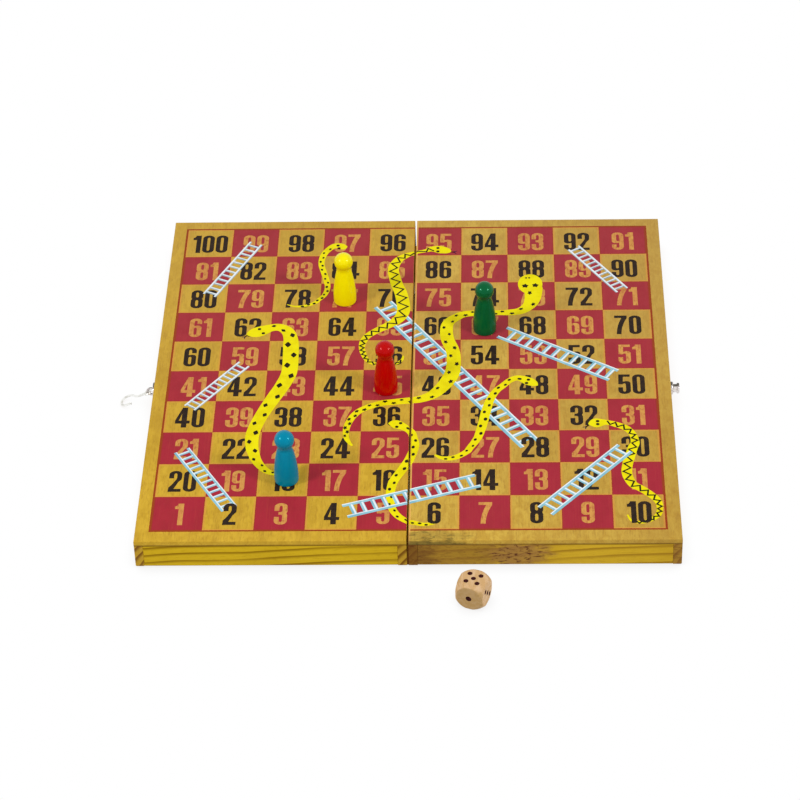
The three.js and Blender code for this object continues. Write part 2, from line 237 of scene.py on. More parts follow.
def board_wood(finish, along, light, middle, dark):
    """Colour and relief of varnished wood with straight grain, blotches and short dark strokes."""
    fibre = finish.grain(along, *FIBRE)
    pore = finish.grain(along, *PORE)
    colour = finish.layer(light, finish.grain(along, *BLOTCH), 0.36, 0.66, 1.0, middle)
    for marks, start, end, share in (
        (finish.grain(along, *STREAK), 0.45, 0.7, 0.2),
        (finish.noise(CLOUD_SIZE), 0.45, 0.75, 0.2),
        (finish.grain(along, *STROKE), 0.5, 0.7, 0.48),
        (fibre, 0.5, 0.8, 0.3),
        (pore, 0.66, 0.8, 0.35),
    ):
        colour = finish.layer(colour, marks, start, end, share, dark)
    return colour, finish.plus(fibre, finish.times(pore, -0.6)), fibre


INK_WAVER_LENGTH = 0.9 * MM
ink_waver_share = 0.014
# The rows over which the print and its wood grow paler toward the back, a painted sheen
sheen_rows = (1.0, 9.0)
# From a line between two squares, in squares: rust on the red, orange on the wood, and the border line
rust_edge_shares = (0.008, 0.03)
ink_edge_shares = (0.02, 0.045)
border_line_share = 0.042
EDGE_LIGHT_WIDTH = 0.95 * MM
EDGE_LIGHT_BLUR = 0.15 * MM


def line_distance(finish, count):
    """How far a place is from the nearest line between two squares, in squares."""
    share = finish.math("FRACT", count)
    return finish.math("MINIMUM", share, finish.minus(1.0, share))


def print_place(finish):
    """Where a place lies in the print, in squares to the right and back, wavering as ink edges do."""
    edge_noise = finish.noise(INK_WAVER_LENGTH, detail=3.0)
    waver = finish.times(finish.minus(edge_noise, 0.5), ink_waver_share)
    places = []
    for value, start in ((finish.x, FIELD_LEFT), (finish.y, FIELD_FRONT)):
        places.append(finish.plus(finish.math("DIVIDE", finish.minus(value, start), SQUARE), waver))
    return places


def squares_finish(name, light, middle, dark, red_front, outer_shade, stains):
    """The playing face: wood with its print, its edges and its stains."""
    finish = Finish(name)
    colour, relief, fibre = board_wood(finish, ALONG_Y, light, middle, dark)
    outward = finish.span(finish.apart(finish.x, FOLD_MIDDLE), 0.0, BOARD_REACH)
    colour = finish.cover(colour, dark, outward, outer_shade)
    colour, red_mask = printed(finish, colour, red_front, fibre)
    colour = panel_edges(finish, colour)
    for stain in stains:
        colour = stained(finish, colour, *stain)
    ink_relief = finish.plus(relief, finish.times(red_mask, 0.35))
    return finish.surface(colour, finish.span(fibre, 0.3, 0.8, 0.34, 0.5), ink_relief, WOOD_RELIEF)


def printed(finish, colour, red_front, fibre):
    """Wood with red squares, orange ink edges and a border line, and where it is red."""
    across, back = print_place(finish)
    middle = SQUARES / 2
    from_middle = finish.math("MAXIMUM", finish.apart(across, middle), finish.apart(back, middle))
    on_face = finish.math("GREATER_THAN", finish.z, FACE_LEVEL - PANEL_EDGE_RADIUS / 2)
    inside = finish.math("LESS_THAN", from_middle, middle)
    # Paler wood toward the back: a painted sheen
    colour = finish.layer(colour, back, *sheen_rows, 0.25, SHEEN_PALE_WOOD)
    beside = finish.math("MINIMUM", line_distance(finish, across), line_distance(finish, back))
    ink_edge = finish.span(beside, *ink_edge_shares, 0.6, 0.0)
    colour = finish.cover(colour, INK_EDGE, ink_edge, inside, on_face)
    count = finish.plus(finish.math("FLOOR", across), finish.math("FLOOR", back))
    odd = finish.math("MODULO", finish.plus(count, 2 * SQUARES), 2.0)
    red_mask = finish.times(inside, on_face, finish.math("LESS_THAN", odd, 0.5))
    red = red_print(finish, red_front, back, fibre, beside)
    colour = finish.cover(colour, red, red_mask, 0.97)
    near_line = finish.math("LESS_THAN", from_middle, middle + border_line_share)
    outside = finish.minus(1.0, inside)
    return finish.cover(colour, BORDER_RED, near_line, on_face, outside, 0.92), red_mask


def red_print(finish, red_front, back, fibre, beside):
    """The red ink: duller to the back as a painted sheen, patchy, thin on the fibres and rusty at its edges.
    """
    patch = finish.grain(ALONG_Y, *RED_PATCH)
    red = finish.layer(red_front, back, *sheen_rows, 1.0, SHEEN_PALE_RED)
    red = finish.layer(red, patch, 0.4, 0.7, 0.45, DEEP_RED)
    red = finish.layer(red, fibre, 0.5, 0.85, 0.30, WORN_RED)
    return finish.cover(red, RUST, finish.span(beside, *rust_edge_shares, 0.6, 0.0))


def panel_edges(finish, colour):
    """Wood painted lighter along the fold, a painted light on the edge that the gap shades, and a line of
    glue, deepened as painted shade, along the foot of the panel's side faces.
    """
    past_fold = finish.apart(finish.x, RIGHT_PANEL[0].x)
    # Lighter wood along the fold's edge: painted light where the gap shades the edge
    painted_edge_light = finish.span(past_fold, EDGE_LIGHT_WIDTH - EDGE_LIGHT_BLUR, EDGE_LIGHT_WIDTH, 0.9, 0.0)
    colour = finish.cover(colour, PAINTED_LIGHT_EDGE_WOOD, painted_edge_light)
    # A glue line at the foot of the panel's side faces, deepened as painted shade under the panel's edge
    glue_and_shade = finish.span(finish.z, PANEL_UNDERSIDE, PANEL_UNDERSIDE + GLUE_SHADE_LINE, 0.75, 0.0)
    not_below = finish.math("GREATER_THAN", finish.facing("Z"), -0.5)
    return finish.cover(colour, PANEL_GLUE_AND_SHADE, glue_and_shade, not_below)


RING_SPACING = 3.9 * MM
RING_WANDER = 6 * MM
GLUE_SHADE_SINK = 0.05 * MM
FOOT_SHADE = 0.8 * MM
STOCK_RELIEF = 0.04 * MM
STAIN_EDGE = (6 * MM, 3 * MM, 2.5 * MM)
STAIN_FLECK = (4 * MM, 1.3 * MM, 1.3 * MM)


def rings(finish, along, pith, tilt):
    """Where a place lies within its growth ring, from 0 to 1, in stock cut round a pith line."""
    length_way, cross_way = (finish.x, finish.y) if along == ALONG_X else (finish.y, finish.x)
    wander = finish.grain(along, *RING_DRIFT)
    drift = finish.times(finish.minus(wander, 0.5), RING_WANDER)
    climb = finish.times(finish.minus(length_way, FOLD_MIDDLE), tilt)
    aside = finish.minus(cross_way, pith[0])
    above = finish.minus(finish.minus(finish.z, pith[1]), climb)
    squared = finish.plus(finish.math("POWER", aside, 2.0), finish.math("POWER", above, 2.0))
    turns = finish.math("DIVIDE", finish.plus(finish.math("SQRT", squared), drift), RING_SPACING)
    return finish.math("FRACT", turns)


def stock_finish(name, along, pith, tilt, light, dark, stains, gloss):
    """Solid pine stock, cut from rings round a pith line, so side faces and end grain agree.

    pith is the ring centre in the stock's cross-section, and tilt is how much it climbs along the stock.
    """
    finish = Finish(name)
    phase = rings(finish, along, pith, tilt)
    falling = finish.span(phase, 0.92, 1.0, 1.0, 0.0)
    late_wood = finish.times(finish.span(phase, 0.5, 0.88), falling)
    strength = finish.span(finish.grain(along, *RING_FADE), 0.3, 0.65, 0.45, 1.0)
    fibre = finish.grain(along, *FIBRE)
    colour = finish.layer(light, finish.noise(CLOUD_SIZE, detail=3.0), 0.4, 0.7, 0.35, dark)
    colour = finish.cover(colour, dark, late_wood, strength)
    colour = finish.layer(colour, fibre, 0.5, 0.8, 0.35, dark)
    colour = finish.layer(colour, finish.grain(along, *STROKE), 0.5, 0.7, 0.35, dark)
    # A glue line along the wall's top, deepened as painted shade under the panel's edge
    glue_shade_top = PANEL_UNDERSIDE - GLUE_SHADE_SINK
    colour = finish.layer(colour, finish.z, glue_shade_top - GLUE_SHADE_LINE, glue_shade_top, 0.7, WALL_GLUE_AND_SHADE)
    # Darker toward the wall's foot: painted shade where it meets the floor
    foot = finish.span(finish.z, WALL_FOOT, WALL_FOOT + FOOT_SHADE, 0.55, 0.0)
    colour = finish.cover(colour, PAINTED_FOOT_SHADE, foot)
    end_grain = finish.span(finish.math("ABSOLUTE", finish.facing(along)), 0.8, 0.95)
    colour = finish.cover(colour, END_GRAIN, end_grain, 0.5)
    end_stripe = finish.span(phase, 0.3, 0.85, 0.0, 0.8)
    colour = finish.cover(colour, END_RING, end_grain, end_stripe, strength, falling)
    for stain in stains:
        colour = stained(finish, colour, *stain)
    relief = finish.plus(fibre, finish.times(late_wood, 0.5))
    roughness = finish.span(fibre, 0.3, 0.8, 0.4, 0.58)
    return finish.surface(colour, roughness, relief, STOCK_RELIEF, gloss=gloss)


def stained(finish, colour, place, reach, wash, wash_strength, fleck, fleck_strength):
    """A stain round one place: an even wash and darker flecks, fading out over reach = (x, y, z)."""
    counted = finish.scaled(finish.vector("SUBTRACT", finish.place, place)[0], reach)
    ragged = finish.noise(STAIN_EDGE, detail=4.0, rough=0.6)
    edge = finish.plus(finish.vector("LENGTH", counted)["Value"], finish.minus(ragged, 0.5))
    flecks = finish.noise(STAIN_FLECK, detail=4.0, rough=0.65, warp=0.6)
    near = finish.span(edge, 0.45, 1.0, 1.0, 0.0)
    colour = finish.cover(colour, wash, near, wash_strength)
    return finish.cover(colour, fleck, near, finish.span(flecks, 0.5, 0.62), fleck_strength)


# The two halves

GOLD = srgb(211, 171, 54)
GOLD_MIDDLE = srgb(198, 158, 46)
GOLD_DARK = srgb(158, 116, 38)
TAN = srgb(216, 180, 76)
TAN_MIDDLE = srgb(200, 160, 62)
TAN_DARK = srgb(154, 114, 50)
# Paler wood for the back rows: a painted sheen
SHEEN_PALE_WOOD = srgb(190, 152, 88)
RED_LEFT_FRONT = srgb(166, 30, 56)
RED_RIGHT_FRONT = srgb(163, 34, 58)
# Paler red for the back rows: a painted sheen
SHEEN_PALE_RED = srgb(163, 46, 60)
PINE_LIGHT = srgb(216, 178, 30)
PINE_DARK = srgb(146, 108, 4)
BROWN_PINE_LIGHT = srgb(214, 174, 42)
BROWN_PINE_DARK = srgb(164, 122, 26)
BOARD_REACH = (BOARD_RIGHT - BOARD_LEFT) / 2
DEEP_RED = srgb(146, 28, 48)
WORN_RED = srgb(190, 78, 62)
BORDER_RED = srgb(146, 44, 22)
INK_EDGE = srgb(216, 148, 66)
RUST = srgb(146, 50, 26)
# Painted light: a lighter wood for the fold's edge, which the gap shades
PAINTED_LIGHT_EDGE_WOOD = srgb(226, 176, 92)
# The next two are glue lines, deepened as painted shade under the panel's edge
PANEL_GLUE_AND_SHADE = srgb(88, 58, 18)
WALL_GLUE_AND_SHADE = srgb(96, 62, 14)
# Painted shade at the walls' foot
PAINTED_FOOT_SHADE = srgb(104, 84, 40)
END_GRAIN = srgb(172, 128, 58)
END_RING = srgb(110, 66, 18)
DIRT = srgb(100, 86, 40)
DIRT_FLECK = srgb(70, 58, 30)
BROWN_STAIN = srgb(138, 96, 44)
BROWN_FLECK = srgb(104, 64, 28)
KNOT_WASH = srgb(160, 116, 62)
KNOT_FLECK = srgb(86, 42, 24)

# Stains: place, reach, wash and its strength, flecks and their strength
right_panel_stains = [
    ((16 * MM, BOARD_FRONT, PANEL_UNDERSIDE), (26 * MM, 3 * MM, 3.4 * MM), DIRT, 0.75, DIRT_FLECK, 0.7),
    ((20 * MM, BOARD_FRONT + 3 * MM, FACE_LEVEL), (24 * MM, 5 * MM, 5 * MM), DIRT, 0.3, DIRT, 0.6),
]
right_front_stains = [
    ((26 * MM, BOARD_FRONT, 9 * MM), (52 * MM, 9 * MM, 16 * MM), BROWN_STAIN, 0.62, BROWN_FLECK, 0.3),
    ((9 * MM, BOARD_FRONT, 7 * MM), (16 * MM, 8 * MM, 16 * MM), BROWN_FLECK, 0.6, KNOT_FLECK, 0.35),
    ((62 * MM, BOARD_FRONT, 8.5 * MM), (21 * MM, 8 * MM, 9 * MM), KNOT_WASH, 0.75, KNOT_FLECK, 0.95),
]
right_end_stains = [
    ((BOARD_RIGHT, BOARD_FRONT, 8 * MM), (14 * MM, 8 * MM, 16 * MM), BROWN_STAIN, 0.5, BROWN_FLECK, 0.4),
]

# Each panel's light, middle and dark wood, its red, how much darker it is outward, and its stains
panel_woods = {
    "left_playing_panel": (GOLD, GOLD_MIDDLE, GOLD_DARK, RED_LEFT_FRONT, 0.0, []),
    "right_playing_panel": (TAN, TAN_MIDDLE, TAN_DARK, RED_RIGHT_FRONT, 0.36, right_panel_stains),
}
# Where the rings' middle is, from each wall's low corner: aside and below
long_wall_pith = (26 * MM, 24 * MM)
short_wall_pith = (30 * MM, 8 * MM)
LONG_WALL_TILT = 0.06
SHORT_WALL_TILT = 0.03
EDGE_BEVEL = 0.3 * MM
EDGE_BEVEL_STEPS = 3
WELD_DISTANCE = 0.001 * MM
FLAT_ANGLE = math.radians(1)
SMOOTH_ANGLE = math.radians(35)
BEVEL_ANGLE = math.radians(40)


def smooth_group():
    """A node group that smooths a faceted CAD mesh, except over its real edges."""
    group = bpy.data.node_groups.new("smooth_round_faces", "GeometryNodeTree")
    for way in ("INPUT", "OUTPUT"):
        group.interface.new_socket("Geometry", in_out=way, socket_type="NodeSocketGeometry")
    tree = Tree(group)
    start = tree.add("NodeGroupInput", {}).outputs[0]
    inputs = {"Geometry": start, "Name": "custom_normal"}
    bare = tree.add("GeometryNodeRemoveAttribute", inputs).outputs[0]
    inputs = {"Geometry": bare, "Distance": WELD_DISTANCE}
    merged = tree.add("GeometryNodeMergeByDistance", inputs).outputs[0]
    smooth = tree.add("GeometryNodeSetShadeSmooth", {"Geometry": merged}, domain="FACE").outputs[0]
    turn = tree.add("GeometryNodeInputMeshEdgeAngle", {}).outputs["Unsigned Angle"]
    inputs = {0: turn, 1: SMOOTH_ANGLE}
    small = tree.add("FunctionNodeCompare", inputs, data_type="FLOAT", operation="LESS_THAN").outputs[0]
    inputs = {"Geometry": smooth, "Shade Smooth": small}
    edges = tree.add("GeometryNodeSetShadeSmooth", inputs, domain="EDGE").outputs[0]
    tree.add("NodeGroupOutput", {0: edges})
    return group


SMOOTH_GROUP = smooth_group()


def dress(node_name, material, bevel=0.0):
    """Gives a CAD node its finish, smooth round faces and, for wood, eased edges."""
    node = nodes[node_name]
    node.data.materials.clear()
    node.data.materials.append(material)
    smooth = node.modifiers.new("smooth_round_faces", "NODES")
    smooth.node_group = SMOOTH_GROUP
    if bevel:
        flat = node.modifiers.new("join_flat_faces", "DECIMATE")
        flat.decimate_type = "DISSOLVE"
        flat.angle_limit = FLAT_ANGLE
        eased = node.modifiers.new("eased_edges", "BEVEL")
        eased.width = bevel
        eased.segments = EDGE_BEVEL_STEPS
        eased.limit_method = "ANGLE"
        eased.angle_limit = BEVEL_ANGLE
        eased.harden_normals = True


def dress_halves():
    for name, woods in panel_woods.items():
        dress(name, squares_finish(name + "_finish", *woods))
    for side, light, dark, front_stains, end_stains in (
        ("left", PINE_LIGHT, PINE_DARK, [], []),
        ("right", BROWN_PINE_LIGHT, BROWN_PINE_DARK, right_front_stains, right_end_stains),
    ):
        for wall, along, stains, gloss, bevel in (
            ("front", ALONG_X, front_stains, VARNISH_GLOSS, EDGE_BEVEL),
            ("back", ALONG_X, [], VARNISH_GLOSS, EDGE_BEVEL),
            ("outer", ALONG_Y, end_stains, VARNISH_GLOSS, EDGE_BEVEL),
            ("fold", ALONG_Y, front_stains, 0.0, 0.0),
        ):
            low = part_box(f"{side}_{wall}_wall")[0]
            if along == ALONG_X:
                pith = (low.y + long_wall_pith[0], low.z - long_wall_pith[1])
                tilt = LONG_WALL_TILT
            else:
                pith = (low.x + short_wall_pith[0], low.z - short_wall_pith[1])
                tilt = SHORT_WALL_TILT
            finish = stock_finish(f"{side}_{wall}_pine", along, pith, tilt, light, dark, stains, gloss)
            dress(f"{side}_{wall}_wall", finish, bevel)


# Metal

BRASS = srgb(206, 182, 112)
DULL_BRASS = srgb(180, 152, 90)
NICKEL = srgb(240, 240, 236)
DULL_NICKEL = srgb(206, 204, 196)
# The eye's and stud's darker, pinker nickel
EYE_AND_STUD_NICKEL = srgb(226, 220, 216)
DULL_EYE_AND_STUD_NICKEL = srgb(176, 166, 164)
# A dark colour for upward faces: a painted dark reflection
PAINTED_DARK_REFLECTION = srgb(70, 66, 54)
METAL_CLOUD = 1.6 * MM
SCRATCH = (0.12 * MM, 1.2 * MM, 2.0, 0.7)
METAL_RELIEF = 0.012 * MM


def metal_finish(name, bright, dull, roughness, dark_reflection=0.0):
    """Plated steel with soft clouding, fine scratches and, on its upper side, a painted dark reflection."""
    finish = Finish(name)
    scratch = finish.grain(ALONG_Y, *SCRATCH)
    colour = finish.layer(bright, finish.noise(METAL_CLOUD, detail=3.0), 0.42, 0.7, 1.0, dull)
    # Darker where the surface faces up: a painted dark reflection
    colour = finish.layer(colour, finish.facing("Z"), 0.8, 0.93, dark_reflection, PAINTED_DARK_REFLECTION)
    varied = finish.plus(roughness, finish.span(scratch, 0.4, 0.75, 0.0, 0.14))
    return finish.surface(colour, varied, scratch, METAL_RELIEF, gloss=METAL_GLOSS, metallic=1.0)


def dress_hinges():
    brass = metal_finish("hinge_brassed_steel", BRASS, DULL_BRASS, 0.26)
    for name in sorted(nodes):
        if "hinge" in name:
            dress(name, brass)


def dress_latch():
    nickel = metal_finish("hook_nickel", NICKEL, DULL_NICKEL, 0.16)
    # The eye and stud also get a painted dark reflection on their upper side
    eye_and_stud_finish = metal_finish("screwed_nickel", EYE_AND_STUD_NICKEL, DULL_EYE_AND_STUD_NICKEL, 0.16, 0.9)
    dress("latch_wire_hook", nickel)
    for name in ("latch_screw_eye", "latch_catch_stud"):
        dress(name, eye_and_stud_finish)


# Meshes made here

def new_object(name, data):
    thing = bpy.data.objects.new(name, data)
    bpy.context.scene.collection.objects.link(thing)
    return thing


def add_piece(name, mesh, materials, body, replaced=None):
    for material in materials:
        mesh.materials.append(material)
    piece = new_object(name, mesh)
    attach(piece, body)
    if replaced:
        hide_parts(replaced)


def arc(centre, radii, start, end, steps=8):
    """Points on an ellipse's arc, from start to end in degrees."""
    points = []
    for step in range(steps + 1):
        angle = math.radians(start + (end - start) * step / steps)
        points.append((centre[0] + radii[0] * math.cos(angle), centre[1] + radii[1] * math.sin(angle)))
    return points


def lathe(profile, centre, foot_level, segments):
    """A closed turned solid from (radius, height) points that start and end on the axis."""
    verts = []
    faces = []
    rings = profile[1:-1]
    for radius, height in rings:
        for step in range(segments):
            angle = 2 * math.pi * step / segments
            x = centre[0] + radius * math.cos(angle)
            y = centre[1] + radius * math.sin(angle)
            verts.append((x, y, foot_level + height))
    for row in range(len(rings) - 1):
        for step in range(segments):
            following = (step + 1) % segments
            low = row * segments
            high = low + segments
            faces.append((low + step, low + following, high + following, high + step))
    bottom = len(verts)
    verts.append((centre[0], centre[1], foot_level + profile[0][1]))
    top = len(verts)
    verts.append((centre[0], centre[1], foot_level + profile[-1][1]))
    last = (len(rings) - 1) * segments
    for step in range(segments):
        following = (step + 1) % segments
        faces.append((bottom, following, step))
        faces.append((top, last + step, last + following))
    mesh = bpy.data.meshes.new("lathe")
    mesh.from_pydata(verts, [], faces)
    mesh.shade_smooth()
    return mesh


# Pawns

pawn_shares = {
    "head_radius": 5.0 / 31,
    "foot_radius": 6.1 / 31,
    "foot_round": 0.7 / 31,
    "neck_radius": 3.85 / 31,
    "neck_level": 20.6 / 31,
}
belly_shares = (6.45 / 6.1, 0.4)
shoulder_shares = (5.15 / 6.1, 0.75)
PAWN_SEGMENTS = 96
PAWN_STEPS = 28
HEAD_STEPS = 24
FOOT_STEPS = 6
POOL_SIZE = (5 * MM, 5 * MM, 7 * MM)
ORANGE_PEEL_SIZE = 1.1 * MM
TURNING_SIZE = (60 * MM, 60 * MM, 0.7 * MM)
FOOT_SHADOW = 1.2 * MM
PAINT_RELIEF = 0.004 * MM


def bezier(first, second, third, fourth, steps):
    points = []
    for step in range(steps + 1):
        t = step / steps
        weights = ((1 - t) ** 3, 3 * t * (1 - t) ** 2, 3 * t ** 2 * (1 - t), t ** 3)
        corners = (first, second, third, fourth)
        points.append(tuple(sum(w * c[axis] for w, c in zip(weights, corners)) for axis in range(2)))
    return points


def pawn_profile(height):
    head, base, foot, neck, neck_level = [share * height for share in pawn_shares.values()]
    belly = (belly_shares[0] * base, belly_shares[1] * neck_level)
    shoulder = (shoulder_shares[0] * base, shoulder_shares[1] * neck_level)
    head_level = height - head
    start = -math.degrees(math.acos(neck / head))
    points = [(0.0, 0.0)]
    points += arc((base - foot, foot), (foot, foot), -90, 0, FOOT_STEPS)
    points += bezier((base, foot), belly, shoulder, (neck, neck_level), PAWN_STEPS)[1:]
    points += arc((0.0, head_level), (head, head), start, 90, HEAD_STEPS)[:-1]
    points.append((0.0, height))
    return points


def paint_finish(name, colour, deep, shine):
    """Dipped gloss paint on turned wood: slightly uneven and deeper where it pooled, with a painted shadow
    at the foot.
    """
    finish = Finish(name)
    pool = finish.noise(POOL_SIZE)
    orange_peel = finish.noise(ORANGE_PEEL_SIZE, detail=1.0)
    relief = finish.plus(orange_peel, finish.times(finish.noise(TURNING_SIZE), 0.6))
    shade = finish.layer(colour, pool, 0.35, 0.75, 0.22, deep)
    # Darker just above the board: a painted contact shadow at the pawn's foot
    painted_foot_shadow = finish.span(finish.z, FACE_LEVEL, FACE_LEVEL + FOOT_SHADOW, 0.5, 0.0)
    shade = finish.cover(shade, deep, painted_foot_shadow)
    roughness = finish.span(pool, 0.3, 0.7, 0.17, 0.21)
    return finish.surface(shade, roughness, relief, PAINT_RELIEF, gloss=PAINT_GLOSS, shine=shine)


# Each pawn's paint, its deeper shade, used for pools and for the painted shadow at its foot, and the tint of
# its shine
pawn_paints = {
    "yellow": (srgb(246, 233, 0), srgb(232, 206, 0), (1.0, 1.0, 0.3, 1.0)),
    "red": (srgb(184, 0, 0), srgb(142, 0, 2), (1.0, 0.3, 0.3, 1.0)),
    "blue": (srgb(0, 130, 162), srgb(0, 98, 132), (0.15, 0.95, 1.0, 1.0)),
    "green": (srgb(0, 88, 44), srgb(0, 60, 28), (0.25, 1.0, 0.6, 1.0)),
}


def make_pawns():
    for colour, paints in pawn_paints.items():
        node = f"{colour}_pawn"
        low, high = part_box(node)
        centre = ((low.x + high.x) / 2, (low.y + high.y) / 2)
        mesh = lathe(pawn_profile(high.z - low.z), centre, low.z, PAWN_SEGMENTS)
        finish = paint_finish(f"{colour}_gloss_paint", *paints)
        add_piece(f"{colour}_turned_pawn", mesh, [finish], f"{colour}_piece", node)


# Die

DIE_TURN = -20.0
die_edge_share = 1.2 / 14.4
die_corner_share = 9.8 / 14.4
PIP_RADIUS = 1.25 * MM
PIP_BALL_RADIUS = 1.55 * MM
PIP_SPACING = 2.85 * MM
SINGLE_PIP_GROWTH = 1.2
DIE_GRID = 36
DIE_SHARP_ANGLE = math.radians(38)
PIP_BALL_STEPS = 3
PIP_BALL_MARGIN = 1.001
DIE_FIBRE = (0.25 * MM, 6 * MM, 3.0, 0.6)
DIE_BANDS = (2.2 * MM, 18 * MM, 2.0, 0.5, 0.5)
DIE_VESSELS = (0.15 * MM, 1.4 * MM, 2.0, 0.7)
DIE_RELIEF = 0.02 * MM
DIE_WOOD = srgb(218, 182, 140)
DIE_BAND_WOOD = srgb(204, 164, 112)
DIE_FIBRE_WOOD = srgb(176, 128, 84)
DIE_VESSEL_WOOD = srgb(150, 100, 62)
DIE_END_GRAIN_AND_SHADE = srgb(172, 138, 82)
PIP_BROWN = srgb(52, 16, 18)
PIP_DRY_BROWN = srgb(74, 30, 28)
PIP_STAIN_SIZE = 0.5 * MM
pip_patterns = {
    1: [(0, 0)],
    2: [(-1, -1), (1, 1)],
    3: [(-1, -1), (0, 0), (1, 1)],
    4: [(-1, -1), (-1, 1), (1, -1), (1, 1)],
    5: [(-1, -1), (-1, 1), (0, 0), (1, -1), (1, 1)],
    6: [(-1, -1), (-1, 0), (-1, 1), (1, -1), (1, 0), (1, 1)],
}
# Each face: its number, its outward direction and the two directions in its plane
die_faces = [
    (5, (0, 0, 1), (1, 0, 0), (0, 1, 0)),
    (2, (0, 0, -1), (1, 0, 0), (0, 1, 0)),
    (1, (0, -1, 0), (1, 0, 0), (0, 0, 1)),
    (6, (0, 1, 0), (1, 0, 0), (0, 0, 1)),
    (3, (1, 0, 0), (0, 1, 0), (0, 0, -1)),
    (4, (-1, 0, 0), (0, 1, 0), (0, 0, 1)),
]


def rounded_cube(edge, radius, reach, grid):
    """A cube of a fine grid with eased edges, whose corners are rounded off by a ball of that reach."""
    mesh = bmesh.new()
    bmesh.ops.create_cube(mesh, size=edge)
    bmesh.ops.subdivide_edges(mesh, edges=mesh.edges[:], cuts=grid - 1, use_grid_fill=True)
    inner = edge / 2 - radius
    for vert in mesh.verts:
        core = Vector([max(-inner, min(inner, value)) for value in vert.co])
        away = vert.co - core
        if away.length > 0:
            vert.co = core + away.normalized() * radius
        if vert.co.length > reach:
            vert.co = vert.co.normalized() * reach
    return mesh


def pip_balls(edge):
    """The centre and radius of each pip's ball, in the die's own frame."""
    found = []
    for count, outward, first, second in die_faces:
        growth = SINGLE_PIP_GROWTH if count == 1 else 1.0
        ball = PIP_BALL_RADIUS * growth
        lift = edge / 2 + math.sqrt(ball ** 2 - (PIP_RADIUS * growth) ** 2)
        for a, b in pip_patterns[count]:
            place = lift * Vector(outward) + PIP_SPACING * (a * Vector(first) + b * Vector(second))
            found.append((place, ball))
    return found


def die_wood():
    """Pale bare wood with fine vessels and a waxed feel, darker on its end grain faces, which also serves as
    painted shade on the front face.
    """
    finish = Finish("die_bare_wood")
    fibre = finish.grain(ALONG_Y, *DIE_FIBRE)
    vessels = finish.grain(ALONG_Y, *DIE_VESSELS)
    colour = finish.layer(DIE_WOOD, finish.grain(ALONG_Y, *DIE_BANDS), 0.36, 0.64, 1.0, DIE_BAND_WOOD)
    colour = finish.layer(colour, fibre, 0.5, 0.8, 0.4, DIE_FIBRE_WOOD)
    colour = finish.layer(colour, vessels, 0.62, 0.76, 0.5, DIE_VESSEL_WOOD)
    # Darker on faces that look along Y: the end grain, and also painted shade on the die's front face
    end_way = finish.math("ABSOLUTE", finish.facing(ALONG_Y))
    colour = finish.layer(colour, end_way, 0.72, 0.86, 0.6, DIE_END_GRAIN_AND_SHADE)
    roughness = finish.span(fibre, 0.3, 0.8, 0.42, 0.6)
    return finish.surface(colour, roughness, finish.minus(fibre, vessels), DIE_RELIEF)


def pip_stain():
    """Dark brown stain that has dried a little unevenly in the pips."""
    finish = Finish("die_pip_stain")
    dry = finish.noise(PIP_STAIN_SIZE, detail=3.0)
    colour = finish.layer(PIP_BROWN, dry, 0.4, 0.7, 1.0, PIP_DRY_BROWN)
    return finish.surface(colour, finish.span(dry, 0.3, 0.7, 0.35, 0.6), dry, DIE_RELIEF)


def pip_ball_mesh(pips):
    mesh = bmesh.new()
    for place, ball in pips:
        at = Matrix.Translation(place)
        bmesh.ops.create_icosphere(mesh, subdivisions=PIP_BALL_STEPS, radius=ball, matrix=at)
    return mesh


def cut_out(solid, cutters):
    """The mesh of a solid with the cutters taken out of it."""
    things = []
    for name, shape in (("die_solid", solid), ("pip_balls", cutters)):
        data = bpy.data.meshes.new(name)
        shape.to_mesh(data)
        things.append(new_object(name, data))
    holder, cutter = things
    cut = holder.modifiers.new("pips", "BOOLEAN")
    cut.operation = "DIFFERENCE"
    cut.solver = "EXACT"
    cut.object = cutter
    bpy.context.view_layer.update()
    evaluated = holder.evaluated_get(bpy.context.evaluated_depsgraph_get())
    mesh = bpy.data.meshes.new_from_object(evaluated)
    for thing in things:
        bpy.data.objects.remove(thing)
    return mesh


def make_die():
    low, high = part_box("die")
    edge = high.z - low.z
    turn = Matrix.Rotation(math.radians(DIE_TURN), 4, "Z")
    pips = pip_balls(edge)
    solid = rounded_cube(edge, die_edge_share * edge, die_corner_share * edge, DIE_GRID)
    mesh = cut_out(solid, pip_ball_mesh(pips))
    for face in mesh.polygons:
        in_pip = any((face.center - place).length < ball * PIP_BALL_MARGIN for place, ball in pips)
        face.material_index = 1 if in_pip else 0
    mesh.transform(Matrix.Translation((low + high) / 2) @ turn)
    mesh.shade_smooth()
    mesh.set_sharp_from_angle(angle=DIE_SHARP_ANGLE)
    add_piece("rounded_wooden_die", mesh, [die_wood(), pip_stain()], "die_piece", "die")


# Print shapes: each is flat points and faces in squares, a layer and an ink

# At a bend a strip gets wider by at most one over this share
smallest_mitre_share = 0.4


def direction(start, end):
    return Vector((end[0] - start[0], end[1] - start[1])).normalized()


def sideways(along):
    """A direction turned a quarter to the left."""
    return Vector((-along.y, along.x))


